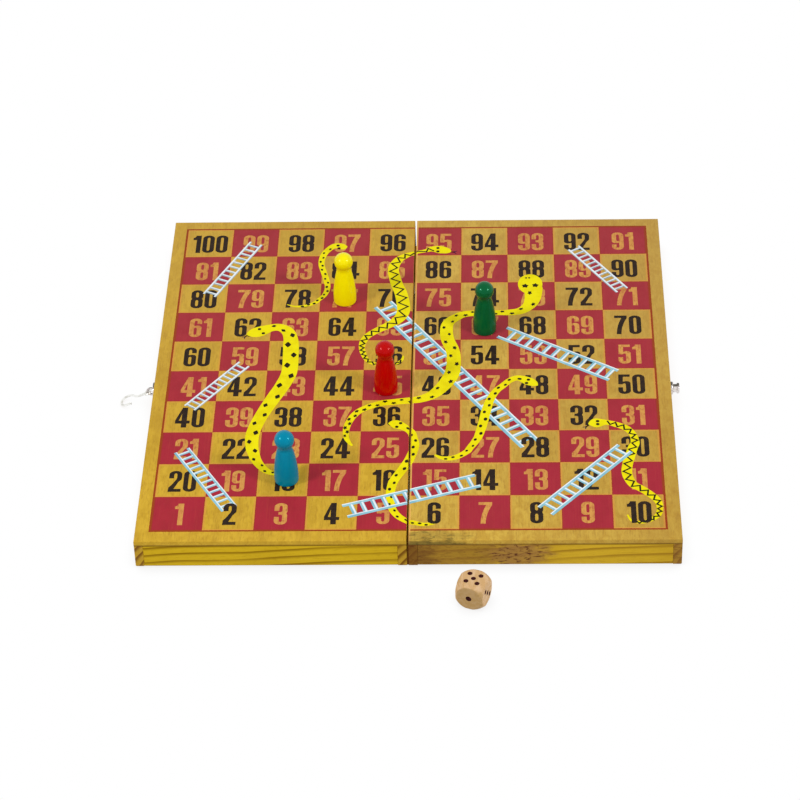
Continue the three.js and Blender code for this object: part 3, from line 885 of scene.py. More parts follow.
class Print:
    """Flat printed shapes that become thin closed solids on the playing face."""

    def __init__(self):
        self.shapes = []

    def outline(self, loops, layer, ink=0):
        """A shape inside the first loop and outside the others."""
        points = [point for loop in loops for point in loop]
        faces = tessellate_polygon([[Vector((x, y, 0)) for x, y in loop] for loop in loops])
        self.shapes.append((points, faces, layer, ink))

    def ribbon(self, route, widths, layer, ink=0):
        """A strip along a route, mitred where the route bends."""
        points = []
        for index, here in enumerate(route):
            near = route[max(index - 1, 0):index + 2]
            steps = [direction(start, end) for start, end in zip(near, near[1:])]
            across = sideways(steps[0] + steps[-1]).normalized()
            spread = max(smallest_mitre_share, abs(across.dot(sideways(steps[0]))))
            reach = widths[index] / 2 / spread
            points.append((here[0] + across.x * reach, here[1] + across.y * reach))
            points.append((here[0] - across.x * reach, here[1] - across.y * reach))
        faces = []
        for index in range(len(route) - 1):
            low = 2 * index
            faces.append((low, low + 1, low + 3, low + 2))
        self.shapes.append((points, faces, layer, ink))

    def raise_half(self, body):
        """The mesh of what lies on one half, thin and closed, eased over the fold's rounded edge."""
        mesh = bmesh.new()
        for points, faces, layer, ink in self.shapes:
            flat = flat_on_half(points, faces, body)
            if flat.faces:
                thicken(flat, mesh, layer * LAYER_STEP, ink, body)
            flat.free()
        return mesh


def fold_flat_end(body):
    """Where the flat of the playing face ends beside the fold."""
    if body == LEFT_HALF:
        return LEFT_PANEL[1].x - PANEL_EDGE_RADIUS
    return RIGHT_PANEL[0].x + PANEL_EDGE_RADIUS


def edge_steps():
    """How far past the flat's end each facet of the rounded edge starts. The print ends at the last."""
    turns = [math.pi / 2 * step / PANEL_EDGE_FACETS for step in range(PANEL_EDGE_FACETS)]
    return [PANEL_EDGE_RADIUS * math.sin(turn) for turn in turns]


def flat_on_half(points, faces, body):
    """The part of a flat shape that lies on one half, cut at the rounded edge's facets."""
    outward = 1 if body == LEFT_HALF else -1
    flat = bmesh.new()
    verts = [flat.verts.new((FIELD_LEFT + x * SQUARE, FIELD_FRONT + y * SQUARE, 0)) for x, y in points]
    for face in faces:
        corners = [verts[index] for index in face]
        if len(set(corners)) > 2:
            flat.faces.new(corners)
    start = fold_flat_end(body)
    if all(outward * (vert.co.x - start) <= 0 for vert in flat.verts):
        return flat
    cuts = [start + outward * step for step in edge_steps()]
    for number, cut in enumerate(cuts):
        last = number == len(cuts) - 1
        geometry = flat.verts[:] + flat.edges[:] + flat.faces[:]
        bmesh.ops.bisect_plane(
            flat, geom=geometry, plane_co=(cut, 0, 0), plane_no=(outward, 0, 0), clear_outer=last
        )
    return flat


def edge_drop(x, body):
    """How far the rounded edge has fallen at x."""
    outward = 1 if body == LEFT_HALF else -1
    past = max(0.0, outward * (x - fold_flat_end(body)))
    past = min(past, PANEL_EDGE_RADIUS)
    return PANEL_EDGE_RADIUS - math.sqrt(PANEL_EDGE_RADIUS ** 2 - past ** 2)


def thicken(flat, mesh, height, ink, body):
    """Adds a flat shape to a mesh as a closed solid, from just under the face up to its height."""
    top = {}
    bottom = {}
    for vert in flat.verts:
        level = FACE_LEVEL - edge_drop(vert.co.x, body)
        top[vert] = mesh.verts.new((vert.co.x, vert.co.y, level + height))
        bottom[vert] = mesh.verts.new((vert.co.x, vert.co.y, level - PRINT_SINK))
    new_faces = []
    for face in flat.faces:
        loop = list(face.verts)
        face.normal_update()
        if face.normal.z < 0:
            loop.reverse()
        new_faces.append(mesh.faces.new([top[vert] for vert in loop]))
        new_faces.append(mesh.faces.new([bottom[vert] for vert in reversed(loop)]))
        for start, end in zip(loop, loop[1:] + loop[:1]):
            edge = flat.edges.get((start, end))
            if len(edge.link_faces) == 1:
                new_faces.append(mesh.faces.new([top[start], bottom[start], bottom[end], top[end]]))
    for face in new_faces:
        face.material_index = ink


def lay_print(name, shapes, inks):
    """Makes a print's pieces, one on each half that it reaches."""
    halves = {body: shapes.raise_half(body) for body in (LEFT_HALF, RIGHT_HALF)}
    reached = [body for body, mesh in halves.items() if mesh.faces]
    for body in reached:
        suffix = "" if len(reached) == 1 else "_" + body.split("_")[0]
        mesh = bpy.data.meshes.new(name + suffix)
        halves[body].to_mesh(mesh)
        add_piece(name + suffix, mesh, inks, body)


# Numbers: heavy condensed figures, as shares of their height

figure_width_share = 0.4
stem_share = 0.152
bar_share = 0.12
corner_share = 0.17
hole_corner_share = 0.07
gap_share = 0.06
one_width_share = 0.275
four_width_share = 0.465
seven_width_share = 0.415
figure_height_share = 0.64
figure_centre_shares = (0.51, 0.475)
BOWL_STEPS = 6
SEVEN_STEPS = 8
# The level that a round top's open end comes down to
hook_end_share = 0.64
# The waist of 3 and 8: its levels and how deep it goes
waist_level_shares = (0.44, 0.52, 0.6)
waist_share = 0.03
# 1: how much heavier its stem is, and the flag's reach along the head, its height and its foot's level
one_stem_growth_share = 0.005
flag_reach_share = 0.8
flag_height_share = 0.13
flag_foot_share = 0.75
FLAG_STEPS = 5
# 3: the middle bar's levels and left end, and how deep and at which levels it meets the inner sides
three_bar_shares = (0.465, 0.58)
three_bar_left_share = 0.13
three_bar_root_share = 0.04
three_root_level_shares = (0.42, 0.63)
# 4: its stem's sides, its bar's levels, the head's and the foot's end of its slope, and its hole's corners
four_stem_shares = (0.2, 0.37)
four_bar_shares = (0.2, 0.345)
four_slope_shares = [(0.205, 1), (0, 0.36)]
four_hole_left_share = 0.115
four_hole_top_share = 0.7
# 5: its bowl's level and radii outside, its level and height inside, the open end's level, the corners at
# the left, the levels where the bowl meets the stem and of the bar's foot, and the slant of the right sides
five_bowl_level_share = 0.56
five_bowl_shares = (0.15, 0.1)
five_inside_level_share = 0.49
five_inside_height_share = 0.05
five_end_share = 0.34
five_left_shares = [(0.02, 1), (0.01, 0.5)]
five_stem_top_share = 0.625
five_bar_foot_share = 0.88
five_slant_shares = (0.005, 0.015)
# 6: its bowl's level and radii, where the bowl meets the stem, the open end's level and the hole's top
six_bowl_level_share = 0.5
six_bowl_shares = (0.14, 0.12)
six_stem_share = 0.59
six_end_share = 0.7
six_hole_top_share = 0.505
# 7: its bar's foot, and the guide points of its stem's two sides
seven_bar_foot_share = 0.87
seven_right_shares = ((0.3, 0.62), (0.22, 0.35), (0.215, 0))
seven_left_shares = ((0.06, 0), (0.07, 0.36), (0.14, 0.62), (0.235, 0.87))
# 8: the middle bar's levels
eight_bar_shares = (0.45, 0.6)


def rounded_loop(left, right, bottom, top, corner):
    """A rectangle whose ends are round."""
    half = (right - left) / 2
    middle = (left + right) / 2
    low = arc((middle, bottom + corner), (half, corner), 180, 360)
    high = arc((middle, top - corner), (half, corner), 0, 180)
    return low + high


def hole_loop(bottom, top):
    return rounded_loop(stem_share, figure_width_share - stem_share, bottom, top, hole_corner_share)


def outer_end(top):
    """The round outer end of a figure, from the right to the left at its top, or back at its foot."""
    centre = (figure_width_share / 2, 1 - corner_share if top else corner_share)
    return arc(centre, (figure_width_share / 2, corner_share), 0 if top else 180, 180 if top else 360)


def inner_end(top):
    """The round inner end of a figure's open side, from the left to the right at its top, or back."""
    inset = bar_share + hole_corner_share
    half = figure_width_share / 2 - stem_share
    centre = (figure_width_share / 2, 1 - inset if top else inset)
    return arc(centre, (half, hole_corner_share), 180 if top else 0, 0 if top else -180)


def zero_loops():
    return [rounded_loop(0, figure_width_share, 0, 1, corner_share), hole_loop(bar_share, 1 - bar_share)]


def one_loops():
    width = one_width_share
    stem_left = width - stem_share - one_stem_growth_share
    flag = arc((0.0, 1.0), (stem_left * flag_reach_share, flag_height_share), 0, -90, FLAG_STEPS)
    foot = flag_foot_share
    return [[(width, 0), (width, 1), *flag, (0, foot), (stem_left, foot), (stem_left, 0)]]


def two_loops():
    width = figure_width_share
    inner = width - stem_share
    slope_foot = (stem_share + 0.02, bar_share + 0.015)
    outer_slope_shares = [slope_foot, (0.3, 0.46), (width - 0.01, 0.58), (width, 0.66)]
    inner_slope_shares = [(inner, 0.66), (inner - 0.02, 0.58), (0.1, 0.33), (0.01, 0.2)]
    loop = [(0, 0), (width, 0), (width, slope_foot[1]), *outer_slope_shares, *outer_end(True)]
    loop += [(0, hook_end_share), (stem_share, hook_end_share), *inner_end(True)]
    return [loop + inner_slope_shares]


def waist():
    """The waist in a figure's right side, going up."""
    width = figure_width_share
    low, middle, high = waist_level_shares
    return [(width, low), (width - waist_share, middle), (width, high)]


def three_loops():
    inner = figure_width_share - stem_share
    root = inner - three_bar_root_share
    left = three_bar_left_share
    low, high = three_bar_shares
    low_end = 1 - hook_end_share
    loop = [(0, low_end), *outer_end(False), *waist(), *outer_end(True)]
    loop += [(0, hook_end_share), (stem_share, hook_end_share), *inner_end(True)]
    loop += [(inner, three_root_level_shares[1]), (root, high), (left, high), (left, low), (root, low)]
    return [loop + [(inner, three_root_level_shares[0]), *inner_end(False), (stem_share, low_end)]]


def four_loops():
    left, right = four_stem_shares
    low, high = four_bar_shares
    width = four_width_share
    loop = [(left, 0), (right, 0), (right, low), (width, low), (width, high), (right, high), (right, 1)]
    hole = [(four_hole_left_share, high), (left, high), (left, four_hole_top_share)]
    return [loop + [*four_slope_shares, (0, low), (left, low)], hole]


def five_loops():
    width = figure_width_share
    across, up = five_bowl_shares
    bowl_top = arc((width - across, five_bowl_level_share), (across, up), 90, 0, BOWL_STEPS)
    inside = (width / 2 - stem_share, five_inside_height_share)
    bowl_inside = arc((width / 2, five_inside_level_share), inside, 0, 180, BOWL_STEPS)
    near, far = five_slant_shares
    loop = [*five_left_shares, (stem_share, five_inside_level_share), *reversed(bowl_inside)]
    loop += [*inner_end(False), (stem_share, five_end_share), (0, five_end_share), *outer_end(False)]
    loop += [*reversed(bowl_top), (stem_share + near, five_stem_top_share)]
    loop += [(stem_share + far, five_bar_foot_share), (width - far, five_bar_foot_share)]
    return [loop + [(width - far, 1)]]


def six_loops():
    width = figure_width_share
    across, up = six_bowl_shares
    bowl_top = arc((width - across, six_bowl_level_share), (across, up), 0, 90, BOWL_STEPS)
    loop = [*outer_end(False), *bowl_top, (stem_share, six_stem_share), *inner_end(True)]
    loop += [(width - stem_share, six_end_share), (width, six_end_share), *outer_end(True)]
    return [loop, hole_loop(bar_share, six_hole_top_share)]


def seven_loops():
    width = seven_width_share
    foot = seven_bar_foot_share
    right = bezier((width, foot), *seven_right_shares, SEVEN_STEPS)
    left = bezier(*seven_left_shares, SEVEN_STEPS)
    return [[(0, 1), (0, foot), *reversed(left), *reversed(right), (width, 1)]]


def eight_loops():
    left = [(figure_width_share - x, y) for x, y in reversed(waist())]
    low, high = eight_bar_shares
    loop = [*outer_end(False), *waist(), *outer_end(True), *left]
    return [loop, hole_loop(bar_share, low), hole_loop(high, 1 - bar_share)]


def nine_loops():
    return [[(figure_width_share - x, 1 - y) for x, y in loop] for loop in six_loops()]


figure_makers = (
    zero_loops, one_loops, two_loops, three_loops, four_loops,
    five_loops, six_loops, seven_loops, eight_loops, nine_loops,
)
figures = {str(digit): make() for digit, make in enumerate(figure_makers)}
width_shares = {digit: figure_width_share for digit in figures}
width_shares.update({"1": one_width_share, "4": four_width_share, "7": seven_width_share})
NUMBER_LAYER = 1
LADDER_LAYER = 2
SNAKE_LAYER = 4
HIGH_LADDER_LAYER = 6
HIGH_NUMBER_LAYER = 8
high_numbers = (2, 6, 10, 28)

DARK_INK = srgb(38, 28, 24)
DARK_INK_LIGHT = srgb(54, 40, 28)
DARK_INK_WORN = srgb(96, 72, 40)
DARK_INK_PATCH = 3 * MM
open_number_woods = (srgb(216, 161, 80), srgb(207, 142, 76), srgb(176, 106, 56))
RED_BLEED = srgb(164, 80, 50)
BLEED = (1.3 * MM, 2.4 * MM, 3.0, 0.6)
INK_RELIEF = 0.02 * MM


def square_of(number):
    """The column and row of a number: rows run left to right and back again."""
    row, step = divmod(number - 1, SQUARES)
    return (step if row % 2 == 0 else SQUARES - 1 - step), row


def put_number(shapes, number):
    column, row = square_of(number)
    text = str(number)
    size = figure_height_share
    total = sum(width_shares[digit] for digit in text) + gap_share * (len(text) - 1)
    x = column + figure_centre_shares[0] - total * size / 2
    y = row + figure_centre_shares[1] - size / 2
    layer = HIGH_NUMBER_LAYER if number in high_numbers else NUMBER_LAYER
    for digit in text:
        loops = figures[digit]
        shapes.outline([[(x + u * size, y + v * size) for u, v in loop] for loop in loops], layer)
        x += (width_shares[digit] + gap_share) * size


def thin_ink(name, colours, patches, wear, fibres=SOFT_FIBRE, smoothest=0.36):
    """Ink thin enough to let the fibres show.

    colours are its own, that of its patches and that of its worn fibres. patches gives their size and
    detail and where they start and end, and wear gives where it starts and how strong it gets.
    """
    finish = Finish(name)
    size, detail, start, end = patches
    patch = finish.noise(size, detail)
    fibre = finish.grain(ALONG_Y, *fibres)
    colour = finish.layer(colours[0], patch, start, end, 1.0, colours[1])
    colour = finish.layer(colour, fibre, wear[0], 0.85, wear[1], colours[2])
    return finish.surface(colour, finish.span(patch, 0.3, 0.7, smoothest, 0.5), fibre, INK_RELIEF)


def dark_ink():
    colours = (DARK_INK, DARK_INK_LIGHT, DARK_INK_WORN)
    return thin_ink("dark_number_ink", colours, (DARK_INK_PATCH, 3.0, 0.4, 0.7), (0.6, 0.3), FIBRE)


def gold_figure_wood():
    """Bare wood that the red print leaves open, a little warmer from the ink beside it."""
    finish = Finish("open_number_wood")
    colour, relief, fibre = board_wood(finish, ALONG_Y, *open_number_woods)
    colour = finish.layer(colour, finish.grain(ALONG_Y, *BLEED), 0.5, 0.68, 0.6, RED_BLEED)
    return finish.surface(colour, finish.span(fibre, 0.3, 0.8, 0.34, 0.5), relief, WOOD_RELIEF)


def print_numbers():
    dark = Print()
    gold = Print()
    for number in range(1, SQUARES ** 2 + 1):
        column, row = square_of(number)
        put_number(gold if (column + row) % 2 == 0 else dark, number)
    lay_print("dark_numbers", dark, [dark_ink()])
    lay_print("gold_numbers", gold, [gold_figure_wood()])


# Ladders: foot and head of the middle line, rail spacing, rail width, first and last rung, rung count, layer
# Places and widths are shares of a square, from the front left corner of the print

ladder_shares = {
    "ladder_2_21": ((1.493, 0.63), (0.418, 2.43), 0.28, 0.065, (0.13, 1.99), 12, LADDER_LAYER),
    "ladder_4_14": ((3.763, 0.541), (6.363, 1.451), 0.345, 0.08, (0.165, 2.59), 12, HIGH_LADDER_LAYER),
    "ladder_8_30": ((7.68, 0.52), (9.30, 2.42), 0.325, 0.08, (0.165, 2.36), 12, HIGH_LADDER_LAYER),
    "ladder_28_76": ((7.41, 2.57), (4.34, 7.245), 0.37, 0.09, (0.165, 5.42), 24, LADDER_LAYER),
    "ladder_40_59": ((0.48, 3.785), (1.51, 5.22), 0.25, 0.05, (0.055, 1.645), 12, LADDER_LAYER),
    "ladder_50_67": ((9.15, 4.77), (6.87, 6.25), 0.365, 0.085, (0.10, 2.49), 12, LADDER_LAYER),
    "ladder_71_92": ((9.433, 7.689), (8.433, 9.239), 0.26, 0.055, (0.11, 1.765), 12, LADDER_LAYER),
    "ladder_80_99": ((0.618, 7.611), (1.518, 9.491), 0.265, 0.055, (0.085, 1.955), 12, LADDER_LAYER),
}
white_ladders = ("ladder_40_59", "ladder_71_92", "ladder_80_99")
foot_lit_ladders = ("ladder_50_67",)
rung_band_share = 0.4
rung_line_share = 0.16
rail_line_share = 0.32
white_rail_line_share = 0.66
# How many layers a rung lies below its rails, and its white line above them
RUNG_SINK = 0.3
RUNG_LINE_LIFT = 0.6
# Each ladder ink: its own colour and that of its patches
ladder_inks = {
    "blue": (srgb(152, 202, 216), srgb(126, 182, 200)),
    "pale": (srgb(172, 192, 200), srgb(138, 160, 170)),
    "white": (srgb(236, 242, 246), srgb(222, 234, 240)),
}
WORN_LADDER_INK = srgb(120, 150, 150)
LADDER_INK_PATCH = 6 * MM


def ladder_ink(kind):
    colours = (*ladder_inks[kind], WORN_LADDER_INK)
    patches = (LADDER_INK_PATCH, 4.0, 0.38, 0.66)
    return thin_ink(f"ladder_{kind}_ink", colours, patches, (0.62, 0.3), smoothest=0.38)


def ladder_shapes(foot, head, spacing, rail, rungs, count, layer, line_share, rung_lift):
    """Rails and rungs in the first ink, each with a lit line in the second."""
    shapes = Print()
    foot = Vector(foot)
    along = Vector(head) - foot
    length = along.length
    along.normalize()
    across = sideways(along)
    lit = math.copysign(rail / 2 * (1 - line_share), across.y)
    for side in (-1, 1):
        edge = [foot + across * side * spacing / 2 + along * end for end in (0, length)]
        shapes.ribbon(edge, [rail] * 2, layer)
        shapes.ribbon([point + across * lit for point in edge], [rail * line_share] * 2, layer + 1, 1)
    pitch = (rungs[1] - rungs[0]) / (count - 1)
    for number in range(count):
        middle = foot + along * (rungs[0] + pitch * number)
        ends = [middle + across * side * (spacing / 2 - rail / 4) for side in (-1, 1)]
        shapes.ribbon(ends, [pitch * rung_band_share] * 2, layer - RUNG_SINK)
        lifted = [end + along * rung_lift * pitch * rung_line_share / 2 for end in ends]
        shapes.ribbon(lifted, [pitch * rung_line_share] * 2, layer + RUNG_LINE_LIFT, 1)
    return shapes


def print_ladders():
    inks = {kind: ladder_ink(kind) for kind in ladder_inks}
    for name, ladder in ladder_shares.items():
        white = name in white_ladders
        line_share = white_rail_line_share if white else rail_line_share
        rung_lift = -1 if name in foot_lit_ladders else 1
        shapes = ladder_shapes(*ladder, line_share, rung_lift)
        lay_print(name, shapes, [inks["pale" if white else "blue"], inks["white"]])


# Snakes: the middle line from the snout to the tail's tip, with the width at each point
# Places and widths are shares of a square, from the front left corner of the print

SPOTS = "spots"
DIAMONDS = "diamonds"
STARS = "stars"
ZIGZAG = "zigzag"
snake_shares = {
    "snake_97_78": (SPOTS, [
        (3.515, 9.35, 0.10), (3.43, 9.34, 0.20), (3.25, 9.375, 0.17), (3.1, 9.225, 0.15),
        (3.0, 9.0, 0.14), (2.975, 8.7, 0.13), (3.04, 8.4, 0.13), (3.11, 8.1, 0.13), (3.14, 7.85, 0.12),
        (3.09, 7.6, 0.11), (2.975, 7.43, 0.10), (2.9, 7.325, 0.09), (2.725, 7.225, 0.07),
        (2.5, 7.19, 0.05), (2.3, 7.26, 0.02),
    ]),
    "snake_95_56": (ZIGZAG, [
        (5.78, 9.13, 0.14), (5.56, 9.2, 0.26), (5.37, 9.23, 0.19), (5.22, 9.165, 0.11),
        (5.0, 9.1, 0.11), (4.8, 8.99, 0.16), (4.65, 8.85, 0.20), (4.56, 8.65, 0.23), (4.54, 8.45, 0.24),
        (4.575, 8.2, 0.25), (4.625, 7.95, 0.26), (4.7, 7.7, 0.27), (4.75, 7.45, 0.28),
        (4.785, 7.05, 0.28), (4.725, 6.8, 0.26), (4.6, 6.625, 0.23), (4.425, 6.475, 0.20),
        (4.225, 6.325, 0.18), (4.05, 6.15, 0.16), (3.96, 5.95, 0.15), (3.94, 5.75, 0.13),
        (3.975, 5.55, 0.12), (4.05, 5.35, 0.10), (4.175, 5.225, 0.09), (4.45, 5.15, 0.08),
        (4.65, 5.2, 0.07), (4.78, 5.32, 0.06), (4.81, 5.47, 0.03),
    ]),
    "snake_62_18": (DIAMONDS, [
        (1.5, 6.225, 0.16), (1.73, 6.31, 0.33), (2.0, 6.45, 0.24), (2.2, 6.46, 0.24),
        (2.36, 6.32, 0.27), (2.43, 6.1, 0.30), (2.45, 5.85, 0.33), (2.46, 5.6, 0.33),
        (2.46, 4.95, 0.33), (2.34, 4.5, 0.32), (2.16, 4.05, 0.31), (1.94, 3.45, 0.28),
        (1.82, 2.95, 0.28), (1.825, 2.54, 0.26), (1.885, 2.275, 0.23), (1.96, 2.06, 0.20),
        (2.08, 1.865, 0.17), (2.2, 1.75, 0.14), (2.33, 1.69, 0.11), (2.5, 1.66, 0.03),
    ]),
    "snake_88_24": (STARS, [
        (7.56, 7.95, 0.34), (7.55, 7.75, 0.38), (7.52, 7.4, 0.34), (7.43, 7.15, 0.27),
        (7.25, 6.98, 0.22), (7.0, 6.93, 0.19), (6.8, 6.925, 0.17), (6.15, 6.9, 0.20), (5.9, 6.77, 0.23),
        (5.74, 6.58, 0.25), (5.7, 6.33, 0.27), (5.73, 6.0, 0.28), (5.82, 5.7, 0.29), (5.86, 5.42, 0.29),
        (5.85, 5.0, 0.31), (5.78, 4.72, 0.32), (5.65, 4.45, 0.30), (5.45, 4.18, 0.26),
        (5.2, 4.03, 0.22), (5.0, 3.99, 0.20), (4.65, 3.94, 0.18), (4.4, 3.9, 0.17), (4.15, 3.79, 0.16),
        (3.95, 3.65, 0.155), (3.81, 3.45, 0.15), (3.725, 3.2, 0.14), (3.7, 3.0, 0.13),
        (3.715, 2.8, 0.11), (3.775, 2.65, 0.08), (3.84, 2.55, 0.04),
    ]),
    "snake_48_26": (SPOTS, [
        (7.59, 4.45, 0.10), (7.425, 4.575, 0.24), (7.2, 4.7, 0.17), (7.025, 4.625, 0.15),
        (6.875, 4.45, 0.155), (6.75, 4.3, 0.16), (6.65, 4.1, 0.17), (6.575, 3.85, 0.185),
        (6.525, 3.6, 0.20), (6.475, 3.3, 0.195), (6.425, 3.05, 0.19), (6.35, 2.75, 0.17),
        (6.2, 2.45, 0.15), (6.15, 2.35, 0.145), (5.975, 2.2, 0.14), (5.8, 2.135, 0.13),
        (5.625, 2.16, 0.09), (5.5, 2.25, 0.04),
    ]),
    "snake_36_6": (SPOTS, [
        (4.55, 3.25, 0.10), (4.7, 3.225, 0.25), (4.9, 3.1, 0.18), (5.025, 2.95, 0.17),
        (5.075, 2.75, 0.17), (5.1, 2.55, 0.18), (5.05, 2.3, 0.19), (4.975, 2.05, 0.20),
        (4.85, 1.775, 0.195), (4.7, 1.45, 0.19), (4.65, 1.2, 0.18), (4.64, 0.95, 0.17),
        (4.675, 0.65, 0.16), (4.8, 0.4, 0.15), (5.0, 0.225, 0.13), (5.1, 0.2, 0.12), (5.3, 0.14, 0.10),
        (5.5, 0.175, 0.07), (5.625, 0.275, 0.04),
    ]),
    "snake_32_10": (ZIGZAG, [
        (8.59, 3.19, 0.12), (8.75, 3.225, 0.28), (8.96, 3.24, 0.15), (9.15, 3.17, 0.16),
        (9.35, 3.05, 0.165), (9.475, 2.85, 0.15), (9.51, 2.6, 0.18), (9.46, 2.45, 0.20),
        (9.4, 2.2, 0.205), (9.34, 1.95, 0.21), (9.31, 1.7, 0.21), (9.34, 1.5, 0.20), (9.425, 1.3, 0.19),
        (9.575, 1.175, 0.18), (9.75, 1.0, 0.17), (9.875, 0.825, 0.15), (9.915, 0.625, 0.13),
        (9.875, 0.4, 0.12), (9.725, 0.25, 0.10), (9.525, 0.175, 0.08), (9.35, 0.225, 0.05),
        (9.275, 0.4, 0.03),
    ]),
}
HOODED_SNAKE = "snake_88_24"
hood_centre_shares = (7.478, 7.93)
hood_radius_shares = (0.262, 0.35)
hood_eye_shares = ((7.369, 7.865), (7.587, 7.882))
HOOD_STEPS = 44
HOOD_LAST_ANGLE = 352
# Each eye mark: its point count, its reach between the points and its turn
hood_eye_form = (5, 0.66, 0.2)
eye_form = (6, 0.9, 0.0)
eye_shares = {
    "snake_97_78": [(3.31, 9.385), (3.335, 9.285)],
    "snake_95_56": [(5.49, 9.265), (5.49, 9.14)],
    "snake_62_18": [(1.76, 6.41), (1.85, 6.265)],
    "snake_88_24": [(7.394, 8.15), (7.46, 8.15)],
    "snake_48_26": [(7.4, 4.64), (7.36, 4.53)],
    "snake_36_6": [(4.8, 3.25), (4.725, 3.135)],
    "snake_32_10": [(8.78, 3.28), (8.78, 3.185)],
}
tongue_shares = {
    "snake_95_56": [(5.74, 9.13), (5.9, 9.1)],
    "snake_62_18": [(1.52, 6.2), (1.43, 6.11)],
    "snake_32_10": [(8.6, 3.16), (8.5, 3.06)],
}
CURVE_STEPS = 8
SPOT_SEED = 7
MARK_STRETCH = 0.4
# Each mark's point count, the reach between the points and how much larger it is than a spot
mark_forms = {SPOTS: (6, 0.86, 1.0), DIAMONDS: (4, 0.78, 1.15), STARS: (5, 0.6, 1.0)}
# Where the marks start, then in widths of the body: how far apart, how large and how far aside they are.
# The last is the smallest mark's size
mark_place_shares = {
    SPOTS: (0.44, 1.2, 0.19, 0.3, 0.029),
    DIAMONDS: (0.62, 1.05, 0.165, 0.38, 0.03),
    STARS: (0.34, 0.95, 0.16, 0.42, 0.042),
}
smallest_pitch_share = 0.13
largest_mark_share = 0.056
# How far before the tail's tip the marks end
plain_tail_share = 0.22
# How much the marks' size, turn and distance may vary
size_variation = (0.88, 1.12)
turn_variation = (-0.2, 0.2)
pitch_variation = (0.9, 1.1)
eye_radius_share = 0.039
nostril_radius_share = 0.026
hood_eye_radius_share = 0.078
line_width_share = 0.035
snout_share = 0.8
thinnest_share = 0.004
# The zigzag: where it starts and how far before the tip it ends, its steps and how far aside it goes
zigzag_start_share = 0.38
zigzag_end_share = 0.15
zigzag_reach_share = 0.34
zigzag_step_share = 0.55
smallest_step_share = 0.07
thin_neck_share = 0.135
neck_step_share = 0.19
# The tongue: where it forks, how far it spreads and its width in line widths
fork_share = 0.55
fork_spread_share = 0.3
tongue_line_share = 0.8
# How many layers the tongue lies below the body, and the hood and the eyes above it
TONGUE_SINK = 0.4
HOOD_LIFT = 0.4
MARK_LIFT = 1
EYE_LIFT = 1.3

SNAKE_YELLOW = srgb(240, 228, 8)
DEEP_SNAKE_YELLOW = srgb(228, 212, 6)
WORN_SNAKE_YELLOW = srgb(214, 186, 20)
YELLOW_PATCH = 7 * MM
# Dense inks: their colour and that of their specks
dense_inks = {
    "snake_mark_ink": (srgb(28, 22, 8), srgb(50, 40, 10)),
    "snake_tongue_ink": (srgb(52, 22, 52), srgb(80, 40, 70)),
}
INK_SPECK = 1.2 * MM
DENSE_INK_RELIEF = 0.01 * MM


def smooth_route(points):
    """A smooth line through all points, with every value of a point blended alike."""
    padded = [points[0], *points, points[-1]]
    route = []
    for index in range(1, len(padded) - 2):
        group = padded[index - 1:index + 3]
        for step in range(CURVE_STEPS):
            t = step / CURVE_STEPS
            weights = (
                -0.5 * t + t * t - 0.5 * t ** 3,
                1 - 2.5 * t * t + 1.5 * t ** 3,
                0.5 * t + 2 * t * t - 1.5 * t ** 3,
                -0.5 * t * t + 0.5 * t ** 3,
            )
            route.append(tuple(sum(w * p[axis] for w, p in zip(weights, group)) for axis in range(3)))
    route.append(points[-1])
    return route


class Walk:
    """Finds the place, direction and width at a distance along a route."""

    def __init__(self, route):
        self.route = route
        self.reach = [0.0]
        for start, end in zip(route, route[1:]):
            self.reach.append(self.reach[-1] + math.dist(start[:2], end[:2]))
        self.length = self.reach[-1]

    def at(self, distance):
        index = 0
        while index < len(self.route) - 2 and self.reach[index + 1] < distance:
            index += 1
        start, end = self.route[index], self.route[index + 1]
        step = self.reach[index + 1] - self.reach[index]
        share = (distance - self.reach[index]) / step if step else 0.0
        here = [a + (b - a) * share for a, b in zip(start, end)]
        return Vector(here[:2]), direction(start, end), here[2]


def rounded_widths(route):
    """The widths of a route, drawn in to a round snout."""
    walk = Walk(route)
    widths = []
    for (_, _, width), distance in zip(route, walk.reach):
        snout = max(route[CURVE_STEPS][2] / 2, route[0][2] / 2) * snout_share
        share = min(1.0, distance / snout)
        widths.append(max(width * math.sqrt(1 - (1 - share) ** 2), thinnest_share))
    return widths


def star(centre, radius, points, inner, turn):
    """A blot with that many points."""
    loop = []
    for step in range(2 * points):
        reach = radius if step % 2 == 0 else radius * inner
        angle = turn + math.pi * step / points
        loop.append((centre.x + reach * math.cos(angle), centre.y + reach * math.sin(angle)))
    return loop


def drawn_out(loop, centre, along):
    """A blot made longer in the direction of the body."""
    longer = []
    for x, y in loop:
        away = Vector((x, y)) - centre
        longer.append(tuple(centre + away + along * away.dot(along) * MARK_STRETCH))
    return longer


def mark_spots(shapes, walk, kind, chance):
    """Dark marks that alternate from side to side down the back."""
    distance, pitch_share, size_share, aside_share, smallest_share = mark_place_shares[kind]
    side = -1 if kind == STARS else 1
    while distance < walk.length - plain_tail_share:
        place, along, width = walk.at(distance)
        centre = place + sideways(along) * side * width / 2 * aside_share
        radius = min(max(smallest_share, width * size_share), largest_mark_share)
        radius *= chance.uniform(*size_variation)
        turn = math.atan2(along.y, along.x) + chance.uniform(*turn_variation)
        points, inner, growth = mark_forms[kind]
        loop = star(centre, radius * growth, points, inner, turn)
        shapes.outline([drawn_out(loop, centre, along)], SNAKE_LAYER + MARK_LIFT, 1)
        distance += max(smallest_pitch_share, width * pitch_share) * chance.uniform(*pitch_variation)
        side = -side


